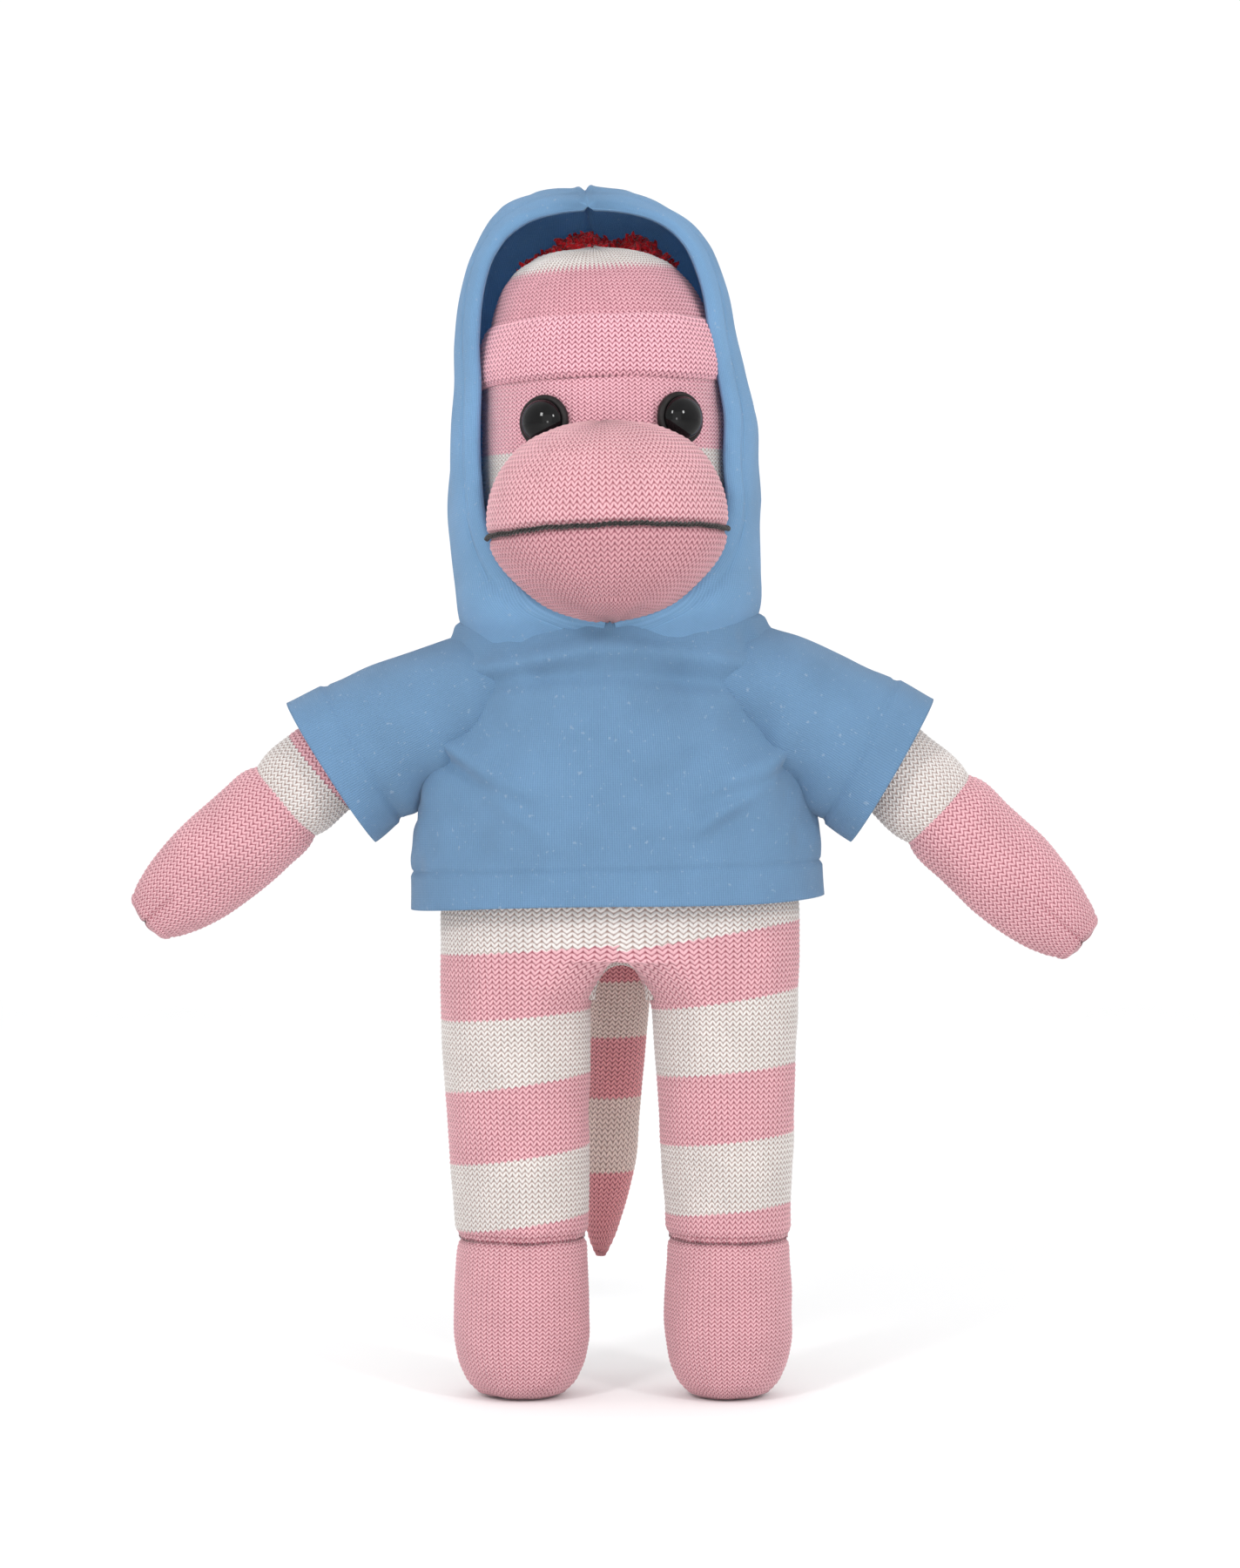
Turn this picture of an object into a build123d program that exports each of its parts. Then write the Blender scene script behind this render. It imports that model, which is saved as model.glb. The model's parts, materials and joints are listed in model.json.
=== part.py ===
"""Stuffed sock monkey in a hooded shirt, standing, arms held out and down.

Frame: +Z up, the front of the toy faces -Y, +X to the viewer's right, origin at the bottom
centre of the bounding box. Millimetres. "left" and "right" are the viewer's.
Everything is first built upright about x = 0; then the parts above the hips lean sideways a
little, as the soft toy stands.
"""
from build123d import *
import os
from math import cos, radians, sin

# ---------------------------------------------------------------- driving dimensions
LEAN = -1.6             # degrees about +Y: the body above the hips leans to -X
SKIN = 1.6              # knitted sock fabric
CLOTH = 1.1             # jersey of the shirt
FIT = 0.1               # between pieces of one body
GAP = 0.4               # between pieces of different bodies

HIP_X = 26.0
HIP_Z = 106.5
LEG_R = 17.3
HIP_RANGE = (-10, 90)   # degrees, forward positive

ANKLE_Z = 40.5
ANKLE_HOLE_R = 13.3     # the stuffing passes from leg to foot here
FOOT_FORWARD = 3.0
SOLE = (12.0, 11.5)     # half width and half depth of the flat under each foot

SHOULDER = (40.0, 183.0)
ARM_DROP = {-1: 38.5, 1: 44.0}    # degrees below horizontal at rest, by side
ARM_LENGTH = 101.5      # shoulder hinge to finger tip
ARM_R = 12.0
WRIST = 52.5            # along the arm
ARM_RANGE = (-8, 80)    # degrees, raising positive

CUFF = 40.0             # end of the sleeve, along the arm
SLEEVE_R = (15.0, 19.0)
SOCKET_R = 16.4         # room for the sleeve's root in torso and shirt

CROTCH = (15.6, 33.0, 28.0)   # width, depth and height of the tongue between the legs
CROTCH_Z = 104.0

HEM_Z = 126.0
NECK_Z = 191.0
NECK_HINGE_Z = 194.0
NOD_RANGE = (-15, 5)    # degrees about +X, chin down positive

CAP_Z = 262.0
CAP_CUFF = (255.0, 270.0)
CAP_CUFF_PROUD = 1.6

MUZZLE = (29.5, 27.0, 24.0)
MUZZLE_Y = -28.0
MUZZLE_Z = 220.0
MOUTH_Z = 218.5
YARN = 1.4

EYE_X = 16.3
EYE_Y = -26.2
EYE_Z = 244.4
FACE_TURN = 4.0         # degrees that the face looks to +X
EYE_TURN = 30.0         # degrees that an eye faces outwards
EYE_FLANGE_R = 6.5
EYE_DOME_R = 5.6
EYE_DOME_HEIGHT = 3.6
EYE_FLANGE = 2.4        # thickness
EYE_STEM = (1.6, 12.0)  # radius and length
WASHER = (5.5, 1.6)     # radius and thickness, inside the face
WASHER_DEPTH = 5.4      # behind the flange

EAR_TURN = 38.0         # degrees behind the sides of the head
EAR = (3.4, 9.0, 12.0)  # half thickness, half width, half height
EAR_X = 30.2
EAR_Z = 241.0

POMPOM = (19.5, 12.0, 9.0)
POMPOM_Y = 12.0
POMPOM_Z = 284.6

HOOD_Y = 3.0            # middle of the hood, front to back
HOOD_FRONT = -13.0      # plane of the face opening
HOOD_BASE_Z = 206.0
HOOD_HINGE = (12.0, 206.0)
HOOD_RANGE = (0, 60)    # degrees, pushed back positive

TAIL_ROOT = (27.0, 115.0)
TAIL_LENGTH = 84.0
TAIL_R = 7.6
TAIL_SEAM = 64.0        # from the root down to the tip piece
TAIL_TILT = 9.0         # degrees from straight down, backwards
TAIL_RANGE = (0, 75)    # degrees, lifted backwards positive

# Sections as (height or distance along the part, half width, half depth).
HEAD = [(198, 15, 15), (206, 24.5, 25), (220, 29.2, 30), (240, 29.7, 31), (260, 28.4, 29.4),
        (278, 23.6, 24.6), (289.5, 11, 12)]
TORSO = [(126.5, 42.5, 22), (134, 45, 25), (150, 44, 25.5), (168, 41, 24.5), (180, 36, 22),
         (186, 30, 19), (189, 22, 15)]
SHIRT = [(HEM_Z, 50.5, 29.5), (140, 49.5, 29), (154, 46, 28), (170, 43, 27), (182, 40, 26),
         (NECK_Z, 36.5, 25)]
HOOD = [(200, 37.4, 32.5), (212, 38.6, 34), (233, 39.2, 35), (252, 38, 34.5), (268, 35.5, 33.5),
        (284, 31, 31), (295, 24, 25.5), (301.5, 14.5, 16.5), (304.5, 5.5, 6.5)]
ARM = [(-3, ARM_R - 0.5, ARM_R - 0.5), (16, 12, 11.8), (34, 12, 11.6), (WRIST, 12.1, 11.4),
       (64, 12.7, 11.3), (76, 12.8, 10.9), (88, 11.4, 9.6), (96, 8.6, 7.4), (ARM_LENGTH, 5, 4.6)]
TAIL = [(0, TAIL_R, TAIL_R), (-30, 7.6, 7.6), (-56, 7.2, 7.2), (-72, 5.8, 5.8),
        (-TAIL_LENGTH, 3.4, 3.4)]
LEG = [(ANKLE_Z, 15.6, 15.6), (60, 16.6, 16.2), (85, 17.1, 16.8), (HIP_Z, LEG_R, LEG_R)]
FOOT = [(0, SOLE[0], SOLE[1]), (4, 15.4, 16), (12, 16.9, 18.6), (24, 16.8, 18.6),
        (34, 16.2, 17.2), (ANKLE_Z, 15.6, 15.6)]


# ---------------------------------------------------------------- helpers
def section(z, half_x, half_y, y=0.0):
    """One oval, its seam always at +X so that lofts don't twist."""
    return Pos(0, y, z) * scale(Circle(half_x), by=(1, half_y / half_x, 1))


def stack(sections, inset=0.0, y=0.0):
    """A closed solid through ovals, its sides and its ends pulled in by inset."""
    low, high = sections[0][0] + inset, sections[-1][0] - inset
    ovals = []
    for z, half_x, half_y in sections:
        level = min(max(z, low), high)
        ovals.append(section(level, half_x - inset, half_y - inset, y))
    return Part() + loft(ovals)


def slab(z_low, z_high, half=150.0):
    return Pos(0, 0, (z_low + z_high) / 2) * Box(2 * half, 2 * half, z_high - z_low)


def side_block(side, half=200.0):
    """Everything on one side of the middle plane."""
    return Pos(side * half, 0, 200) * Box(2 * half, 2 * half, 2 * half)


def ellipsoid(half_x, half_y, half_z):
    """A closed solid through ovals, with small flats at its poles."""
    ovals = []
    for angle in (-84, -65, -40, -15, 15, 40, 65, 84):
        across = cos(radians(angle))
        level = half_z * sin(radians(angle))
        ovals.append(section(level, half_x * across, half_y * across))
    return Part() + loft(ovals)


def along_arm(side, raised=0.0):
    """Placing of something built up +Z onto the arm's line from the shoulder."""
    turn = 90 + ARM_DROP[side] - raised
    return Pos(side * SHOULDER[0], 0, SHOULDER[1]) * Rot(0, side * turn, 0)


def cone_tube(r_low, r_high, z_low, z_high):
    return Pos(0, 0, (z_low + z_high) / 2) * Cone(r_low, r_high, z_high - z_low)


# ---------------------------------------------------------------- arms and sleeves
def arm_shape(inset=0.0):
    """Arm and hand in one, along +Z from the shoulder hinge."""
    ovals = [section(min(z, ARM_LENGTH - inset), x - inset, y - inset) for z, x, y in ARM]
    return Part() + loft(ovals) + Sphere(ARM_R - inset)


def arm(side):
    outer = arm_shape()
    inner = arm_shape(SKIN)
    shell = outer - inner
    skin = shell & slab(-50, WRIST)
    hand = shell & slab(WRIST, ARM_LENGTH + 10)
    filling = arm_shape(SKIN + FIT)
    sleeve = (cone_tube(SLEEVE_R[0], SLEEVE_R[1], 1, CUFF)
              - cone_tube(SLEEVE_R[0] - CLOTH, SLEEVE_R[1] - CLOTH, 0.9, CUFF + 0.1))
    place = along_arm(side)
    return place * skin, place * hand, place * filling, place * sleeve


def arm_room(side):
    """What the sleeve needs around the shoulder, from lowered to raised."""
    room = Pos(side * SHOULDER[0], 0, SHOULDER[1]) * Sphere(SOCKET_R)
    swept = cone_tube(SLEEVE_R[0] + GAP, SLEEVE_R[1] + GAP, 0, CUFF + GAP)
    for raised in (ARM_RANGE[0], 0, ARM_RANGE[1]):
        room = room + along_arm(side, raised) * swept
    return room


# ---------------------------------------------------------------- legs and feet
def leg_shape(inset=0.0):
    column = stack([(z, x - inset, y - inset) for z, x, y in LEG])
    return column + Pos(0, 0, HIP_Z) * Sphere(LEG_R - inset)


def foot_shape(inset=0.0):
    """The foot bulges forward of the ankle; its underside is flat."""
    ovals = []
    for z, half_x, half_y in FOOT:
        forward = FOOT_FORWARD * (1 - z / ANKLE_Z)
        level = max(z, inset)
        ovals.append(section(level, half_x - inset, half_y - inset, -forward))
    return Part() + loft(ovals)


def leg(side):
    place = Pos(side * HIP_X, 0, 0)
    ankle_hole = Pos(0, 0, ANKLE_Z) * Cylinder(ANKLE_HOLE_R, 10)
    skin = leg_shape() - leg_shape(SKIN) - ankle_hole
    foot = foot_shape() - foot_shape(SKIN) - ankle_hole
    filling = leg_shape(SKIN + FIT) + foot_shape(SKIN + FIT)
    return place * skin, place * foot, place * filling


# ---------------------------------------------------------------- torso
def crotch(inset=0.0):
    """The tongue of the body between the legs."""
    block = Box(CROTCH[0] - 2 * inset, CROTCH[1] - 2 * inset, CROTCH[2] - inset)
    rounded = fillet(block.edges().filter_by(Axis.Z), 5 - inset)
    return Pos(0, 1, CROTCH_Z + (CROTCH[2] + inset) / 2) * rounded


def torso():
    room = arm_room(-1) + arm_room(1)
    outer = stack(TORSO) + crotch()
    inner = stack(TORSO, SKIN) + crotch(SKIN)
    skin = outer - inner - room
    filling = stack(TORSO, SKIN + FIT) + crotch(SKIN + FIT) - room
    return skin, filling


def shirt():
    """Front and back panels; the neck dips in front, under the muzzle."""
    outer = stack(SHIRT)
    inner = stack([(z, x - CLOTH, y - CLOTH) for z, x, y in SHIRT])
    collar = slab(NECK_Z - 0.5, NECK_Z + 20)
    body = outer - inner - arm_room(-1) - arm_room(1) - collar
    half = Box(200, 150, 200)
    return body & Pos(0, -75, 150) * half, body & Pos(0, 75, 150) * half


# ---------------------------------------------------------------- head
def eye_place(side):
    """On the face, +Z of the eye pointing out of it."""
    turn = Rot(0, 0, side * EYE_TURN) * Rot(90, 0, 0)
    return Rot(0, 0, FACE_TURN) * Pos(side * EYE_X, EYE_Y, EYE_Z) * turn


def eye(side, head_solid):
    flange = Pos(0, 0, 0.2) * Cylinder(EYE_FLANGE_R, EYE_FLANGE)
    ball_r = (EYE_DOME_R ** 2 + EYE_DOME_HEIGHT ** 2) / (2 * EYE_DOME_HEIGHT)
    top = 0.2 + EYE_FLANGE / 2
    dome = Pos(0, 0, top + EYE_DOME_HEIGHT - ball_r) * Sphere(ball_r) & slab(top, top + 20)
    button = eye_place(side) * (flange + dome) - head_solid
    stem = eye_place(side) * (Pos(0, 0, -5) * Cylinder(*EYE_STEM))
    return button + stem


def washer(side):
    ring = Cylinder(*WASHER) - Cylinder(EYE_STEM[0] + FIT / 2, 2 * WASHER[1])
    return eye_place(side) * (Pos(0, 0, -WASHER_DEPTH) * ring)


def ear(side, head_solid):
    """Small flat ear, pressed against the back of the head under the hood."""
    disc = ellipsoid(*EAR)
    placed = Rot(0, 0, side * EAR_TURN) * (Pos(side * EAR_X, 0, EAR_Z) * disc)
    return placed - head_solid


def head():
    outer = stack(HEAD)
    inner = stack(HEAD, SKIN)
    grown = stack([(z, x + FIT / 2, y + FIT / 2) for z, x, y in HEAD])
    shell = outer - inner

    stems = Part()
    pockets = Part()
    for side in (-1, 1):
        stem = Cylinder(EYE_STEM[0] + FIT / 2, EYE_STEM[1] + 2)
        stems = stems + eye_place(side) * (Pos(0, 0, -5) * stem)
        pocket = Cylinder(WASHER[0] + FIT, WASHER[1] + 3 * FIT)
        pockets = pockets + eye_place(side) * (Pos(0, 0, -WASHER_DEPTH) * pocket)

    skin = (shell & slab(150, CAP_Z)) - stems
    crown = shell & slab(CAP_Z, 300)
    filling = stack(HEAD, SKIN + FIT) - stems - pockets

    wide = stack([(z, x + CAP_CUFF_PROUD, y + CAP_CUFF_PROUD) for z, x, y in HEAD])
    cuff = (wide - grown) & slab(*CAP_CUFF)

    pompom = Pos(0, POMPOM_Y, POMPOM_Z) * ellipsoid(*POMPOM) - wide
    return {"head_skin": skin, "head_stuffing": filling, "cap_crown": crown, "cap_cuff": cuff,
            "pompom": pompom}, grown


def muzzle(head_solid):
    place = Pos(0, MUZZLE_Y, MUZZLE_Z)
    room = Part()
    for side in (-1, 1):
        room = room + eye_place(side) * Cylinder(EYE_FLANGE_R + 0.15, 12)
    outer = place * ellipsoid(*MUZZLE) - head_solid - room
    inner = place * ellipsoid(*(half - SKIN for half in MUZZLE)) - head_solid - room
    filling = place * ellipsoid(*(half - SKIN - FIT for half in MUZZLE)) - head_solid - room
    skin = outer - inner

    half_x, half_y = MUZZLE[0] + 0.02, MUZZLE[1] + 0.02
    ring = extrude(scale(Circle(half_x + YARN), by=(1, (half_y + YARN) / (half_x + YARN), 1)), YARN)
    ring = ring - extrude(scale(Circle(half_x), by=(1, half_y / half_x, 1)), YARN)
    ring = Pos(0, MUZZLE_Y, MOUTH_Z - YARN / 2) * ring
    mouth = ring & Pos(0, MUZZLE_Y - 54, MOUTH_Z) * Box(80, 100, 10)
    return {"muzzle_skin": skin, "muzzle_stuffing": filling, "mouth_yarn": mouth}


# ---------------------------------------------------------------- hood
def hood_dome(inset):
    return stack([(z, x - inset, y - inset) for z, x, y in HOOD[:-1]]
                 + [(HOOD[-1][0] - inset, HOOD[-1][1], HOOD[-1][2])], y=HOOD_Y)


def nape_block(slack=0.0):
    """Behind the plane that rises backwards from the hood's hinge."""
    wedge = Pos(0, HOOD_HINGE[0] - slack, HOOD_HINGE[1]) * Rot(HOOD_RANGE[1], 0, 0)
    return wedge * (Pos(0, 100, -100) * Box(200, 200, 200))


def hood():
    opening = Pos(0, HOOD_FRONT - 50, 250) * Box(200, 100, 300)
    shell = hood_dome(0) - hood_dome(CLOTH) - opening
    shell = shell & slab(HOOD_BASE_Z, 320)
    moving = shell - nape_block(1.0)
    left = moving & side_block(-1)
    right = moving & side_block(1)
    step = CLOTH + GAP
    under = hood_dome(step) - hood_dome(step + CLOTH)
    nape = under & slab(HOOD_BASE_Z, 320) & nape_block()
    return left, right, nape


# ---------------------------------------------------------------- tail
def tail():
    """Hangs from its root, slightly backwards; built down -Z."""
    def shape(inset):
        body = loft([section(max(z, inset - TAIL_LENGTH), x - inset, y - inset) for z, x, y in TAIL])
        return Part() + body + Sphere(TAIL_R - inset)
    place = Pos(0, *TAIL_ROOT) * Rot(TAIL_TILT, 0, 0)
    shell = shape(0) - shape(SKIN)
    return (place * (shell & slab(-TAIL_SEAM, 50)), place * (shell & slab(-100, -TAIL_SEAM)),
            place * shape(SKIN + FIT))


# ---------------------------------------------------------------- assembly
def build():
    """Every node as {name: solid}, with the joints' places in the same frame."""
    upper = {}
    upper["torso_skin"], upper["torso_stuffing"] = torso()
    upper["shirt_front"], upper["shirt_back"] = shirt()
    head_nodes, head_solid = head()
    upper.update(head_nodes)
    upper.update(muzzle(head_solid))
    upper["hood_left"], upper["hood_right"], upper["hood_nape"] = hood()
    upper["tail_skin"], upper["tail_tip_skin"], upper["tail_stuffing"] = tail()
    lower = {}
    for side, name in ((-1, "left"), (1, "right")):
        upper["eye_" + name] = eye(side, head_solid)
        upper["eye_washer_" + name] = washer(side)
        upper["ear_" + name] = ear(side, head_solid)
        skin, hand, filling, sleeve = arm(side)
        upper["arm_skin_" + name] = skin
        upper["hand_skin_" + name] = hand
        upper["arm_stuffing_" + name] = filling
        upper["sleeve_" + name] = sleeve
        skin, foot, filling = leg(side)
        lower["leg_skin_" + name] = skin
        lower["foot_skin_" + name] = foot
        lower["leg_stuffing_" + name] = filling

    lean = Pos(0, 0, HIP_Z) * Rot(0, LEAN, 0) * Pos(0, 0, -HIP_Z)
    nodes = {name: lean * solid for name, solid in upper.items()}
    nodes.update(lower)

    corners = [solid.bounding_box() for solid in nodes.values()]
    middle_x = (min(c.min.X for c in corners) + max(c.max.X for c in corners)) / 2
    middle_y = (min(c.min.Y for c in corners) + max(c.max.Y for c in corners)) / 2
    centre = Pos(-middle_x, -middle_y, 0)
    nodes = {name: centre * solid for name, solid in nodes.items()}

    spots = {"neck": (0, 0, NECK_HINGE_Z), "hood": (0, *HOOD_HINGE), "tail": (0, *TAIL_ROOT)}
    for side, name in ((-1, "left"), (1, "right")):
        spots["shoulder_" + name] = (side * SHOULDER[0], 0, SHOULDER[1])
    joints = {name: (centre * lean * Pos(*spot)).position for name, spot in spots.items()}
    for side, name in ((-1, "left"), (1, "right")):
        joints["hip_" + name] = (centre * Pos(side * HIP_X, 0, HIP_Z)).position
    return nodes, joints


nodes, joints = build()
os.makedirs("parts", exist_ok=True)
for name, solid in nodes.items():
    export_step(solid, "parts/" + name + ".step")
    print(name, len(solid.solids()), round(solid.volume, 1))
for name, spot in joints.items():
    print("joint", name, tuple(round(value, 3) for value in spot))
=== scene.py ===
"""Looks of the stuffed sock monkey in a hooded shirt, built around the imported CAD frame.

Shapes are worked out in millimetres in an upright frame (x = 0 between the hips, y = 0 at the
hips, z = 0 on the floor) and then put into the row's frame, leaning above the hips as the CAD
does. Knitted pieces carry their stitches as relief: one UV unit is one stitch.
"""
import json
import math
import bmesh
import bpy
import numpy as np
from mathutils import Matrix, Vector


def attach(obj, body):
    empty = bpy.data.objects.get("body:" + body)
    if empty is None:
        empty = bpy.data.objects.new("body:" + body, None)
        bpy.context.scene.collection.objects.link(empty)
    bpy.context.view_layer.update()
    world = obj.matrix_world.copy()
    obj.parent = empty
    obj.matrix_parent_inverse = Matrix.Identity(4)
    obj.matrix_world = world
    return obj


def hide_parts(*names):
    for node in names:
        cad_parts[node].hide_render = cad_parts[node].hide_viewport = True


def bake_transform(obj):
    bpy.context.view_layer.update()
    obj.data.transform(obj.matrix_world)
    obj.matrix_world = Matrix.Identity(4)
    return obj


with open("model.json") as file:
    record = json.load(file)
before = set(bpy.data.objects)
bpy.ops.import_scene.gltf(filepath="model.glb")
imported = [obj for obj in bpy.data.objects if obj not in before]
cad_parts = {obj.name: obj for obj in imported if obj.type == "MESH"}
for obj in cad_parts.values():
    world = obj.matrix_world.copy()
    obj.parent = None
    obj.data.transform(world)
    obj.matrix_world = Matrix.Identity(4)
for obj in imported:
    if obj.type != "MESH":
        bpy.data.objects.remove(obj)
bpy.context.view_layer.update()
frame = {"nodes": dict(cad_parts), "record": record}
random = np.random.default_rng(7)

# ---------------------------------------------------------------- the frame's places
JOINTS = {joint["name"]: joint for joint in frame["record"]["behaviour"]["joints"]}
SPOT = {name: np.array(joint["pos_m"]) * 1000 for name, joint in JOINTS.items()}
HIPS = (SPOT["hip_left"] + SPOT["hip_right"]) / 2
SHIFT = np.array([HIPS[0], HIPS[1], 0.0])
HIP_Z = HIPS[2]
across = SPOT["shoulder_right"] - SPOT["shoulder_left"]
LEAN = math.atan2(across[2], across[0])


def placed(points, leaning=True):
    """Upright millimetres to the row's frame in metres."""
    points = np.array(points, float)
    if leaning:
        c, s = math.cos(LEAN), math.sin(LEAN)
        x, z = points[..., 0].copy(), points[..., 2] - HIP_Z
        points[..., 0] = x * c - z * s
        points[..., 2] = x * s + z * c + HIP_Z
    return (points + SHIFT) / 1000


def upright(spot):
    """The row's frame in millimetres to upright millimetres."""
    x, y, z = np.array(spot) - SHIFT - np.array([0, 0, HIP_Z])
    c, s = math.cos(LEAN), math.sin(LEAN)
    return np.array([x * c + z * s, y, -x * s + z * c + HIP_Z])


SHOULDER = upright(SPOT["shoulder_right"])
HEM_Z = 124.8
NECK_Z = 195.0

# Knit, in millimetres, and the mesh steps of one stitch.
COURSE = 1.3
RELIEF = 0.42
WALE_STEPS = 4
COURSE_STEPS = 3


# ---------------------------------------------------------------- numbers along a curve
def smoothstep(low, high, x):
    t = np.clip((x - low) / (high - low), 0, 1)
    return t * t * (3 - 2 * t)


def bump_at(x, centre, width):
    return np.exp(-((x - centre) / width) ** 2)


def along(keys, t):
    """Smooth values at t through rows of (t, value, ...)."""
    keys = np.array(keys, float)
    x, y = keys[:, 0], keys[:, 1:]
    slope = np.gradient(y, x, axis=0)
    t = np.clip(np.asarray(t, float), x[0], x[-1])
    i = np.clip(np.searchsorted(x, t) - 1, 0, len(x) - 2)
    h = (x[i + 1] - x[i])[:, None]
    f = (t - x[i])[:, None] / h
    a = 2 * f ** 3 - 3 * f ** 2 + 1
    b = f ** 3 - 2 * f ** 2 + f
    c = -2 * f ** 3 + 3 * f ** 2
    d = f ** 3 - f ** 2
    return a * y[i] + b * h * slope[i] + c * y[i + 1] + d * h * slope[i + 1]


def noise_field(shape, cells, seed):
    """Smooth random values over a grid, wrapping across the columns."""
    source = np.random.default_rng(seed).normal(size=(cells[0] + 3, cells[1]))
    r = np.linspace(1, cells[0] + 0.999, shape[0])
    c = np.linspace(0, cells[1], shape[1], endpoint=False)
    ri, ci = r.astype(int), c.astype(int)
    rf, cf = smoothstep(0, 1, r - ri)[:, None], smoothstep(0, 1, c - ci)[None, :]
    ri = np.minimum(ri, cells[0] + 1)
    at = lambda i, j: source[np.ix_(i, j % cells[1])]
    top = at(ri, ci) * (1 - cf) + at(ri, ci + 1) * cf
    low = at(ri + 1, ci) * (1 - cf) + at(ri + 1, ci + 1) * cf
    return top * (1 - rf) + low * rf


# ---------------------------------------------------------------- grids
def grid_normals(points, wrap):
    """Unit normals of a grid of points; the columns may close on themselves."""
    if wrap:
        dc = np.roll(points, -1, axis=1) - np.roll(points, 1, axis=1)
    else:
        dc = np.gradient(points, axis=1)
    dr = np.gradient(points, axis=0)
    normal = np.cross(dc, dr)
    length = np.linalg.norm(normal, axis=2, keepdims=True)
    return normal / np.maximum(length, 1e-9)


def outward(points):
    """Normals pointing away from the grid's middle line."""
    normal = grid_normals(points, True)
    middle = points.mean(axis=1, keepdims=True)
    if ((points - middle) * normal).sum() < 0:
        normal = -normal
    return normal


def stitch_height(u, v):
    """Height of stocking stitch, 0 to 1: u counts wales and v counts courses."""
    a = np.abs(u - np.floor(u) - 0.5) * 2
    leg = 0.5 + 0.5 * np.cos(2 * np.pi * (v - 0.75 * a))
    wale = 1 - 0.55 * smoothstep(0.6, 1.0, a) - 0.25 * (1 - smoothstep(0, 0.3, a))
    return wale * (0.3 + 0.7 * leg)


def make_piece(name, points, material, uv=None, stripe=None, caps=(False, False),
               leaning=True, keep=None, ends=(False, False)):
    """A mesh object from a grid of points (rows, columns, 3).

    caps closes an end row with a fan; ends closes the end row of a two-layer grid, whose
    columns run out on one face of the cloth and back on the other.
    """
    rows, cols = points.shape[:2]
    verts = placed(points, leaning).reshape(-1, 3)
    r, c = np.meshgrid(np.arange(rows - 1), np.arange(cols), indexing="ij")
    r, c = r.ravel(), c.ravel()
    d = (c + 1) % cols
    quads = np.stack([r * cols + c, r * cols + d, (r + 1) * cols + d, (r + 1) * cols + c], 1)
    if uv is None:
        uv = (np.arange(cols + 1)[None, :] + np.zeros((rows, 1)),
              np.arange(rows)[:, None] + np.zeros((1, cols + 1)))
    u, v = uv
    quad_uv = np.stack([np.stack([u[r, c], v[r, c]], 1), np.stack([u[r, c + 1], v[r, c + 1]], 1),
                        np.stack([u[r + 1, c + 1], v[r + 1, c + 1]], 1),
                        np.stack([u[r + 1, c], v[r + 1, c]], 1)], 1)
    if keep is not None:
        chosen = keep(points)[r, c]
        quads, quad_uv = quads[chosen], quad_uv[chosen]
    normal = outward(points)
    sample = quads[len(quads) // 2]
    p = points.reshape(-1, 3)[sample]
    facing = np.cross(p[1] - p[0], p[3] - p[0])
    if facing @ normal.reshape(-1, 3)[sample[0]] < 0:
        quads, quad_uv = quads[:, ::-1], quad_uv[:, ::-1]
    faces = [tuple(q) for q in quads.tolist()]
    loops = [quad_uv.reshape(-1, 2)]
    extra = []
    flat_stripe = None if stripe is None else list(np.broadcast_to(stripe, (rows, cols)).ravel())
    for end, wanted in zip((0, rows - 1), caps):
        if not wanted:
            continue
        centre = len(verts) + len(extra)
        extra.append(verts[end * cols:(end + 1) * cols].mean(axis=0))
        if flat_stripe is not None:
            flat_stripe.append(flat_stripe[end * cols])
        for k in range(cols):
            a, b = end * cols + k, end * cols + (k + 1) % cols
            face = (a, b, centre)
            faces.append(face if end else face[::-1])
            loops.append(np.array([[u[end, k], v[end, k]], [u[end, k + 1], v[end, k + 1]],
                                   [u[end, k], v[end, k]]]))
    for end, wanted in zip((0, rows - 1), ends):
        for k in range(cols // 2 - 1 if wanted else 0):
            other = cols - 1 - k
            faces.append(tuple(end * cols + j for j in (k, k + 1, other - 1, other)))
            loops.append(np.array([[u[end, j], v[end, j]] for j in (k, k + 1, k + 1, k)]))
    if extra:
        verts = np.vstack([verts, np.array(extra)])
    mesh = bpy.data.meshes.new(name)
    mesh.from_pydata(verts.tolist(), [], faces)
    layer = mesh.uv_layers.new(name="stitch")
    layer.data.foreach_set("uv", np.vstack(loops).astype(np.float32).ravel())
    if flat_stripe is not None:
        attribute = mesh.attributes.new("stripe", "FLOAT", "POINT")
        attribute.data.foreach_set("value", np.array(flat_stripe, np.float32))
    mesh.polygons.foreach_set("use_smooth", np.ones(len(faces), bool))
    mesh.materials.append(material)
    mesh.validate()
    mesh.update()
    if any(ends):
        pair = np.empty(2 * len(mesh.edges), int)
        mesh.edges.foreach_get("vertices", pair)
        pair = pair.reshape(-1, 2) // cols
        sharp = np.zeros(len(pair), bool)
        for end, wanted in zip((0, rows - 1), ends):
            sharp |= (pair == end).all(axis=1) & wanted
        mesh.attributes.new("sharp_edge", "BOOLEAN", "EDGE").data.foreach_set("value", sharp)
    piece = bpy.data.objects.new(name, mesh)
    bpy.context.scene.collection.objects.link(piece)
    if any(caps) or any(ends):
        recalculate(piece)
    return piece


def declare(piece, slot, body, *nodes, fill=None):
    """Hides the CAD nodes a piece stands for and ties the piece to the body it rides; slot and fill are not
    used.
    """
    if nodes:
        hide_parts(*nodes)
    if body:
        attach(piece, body)


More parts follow.
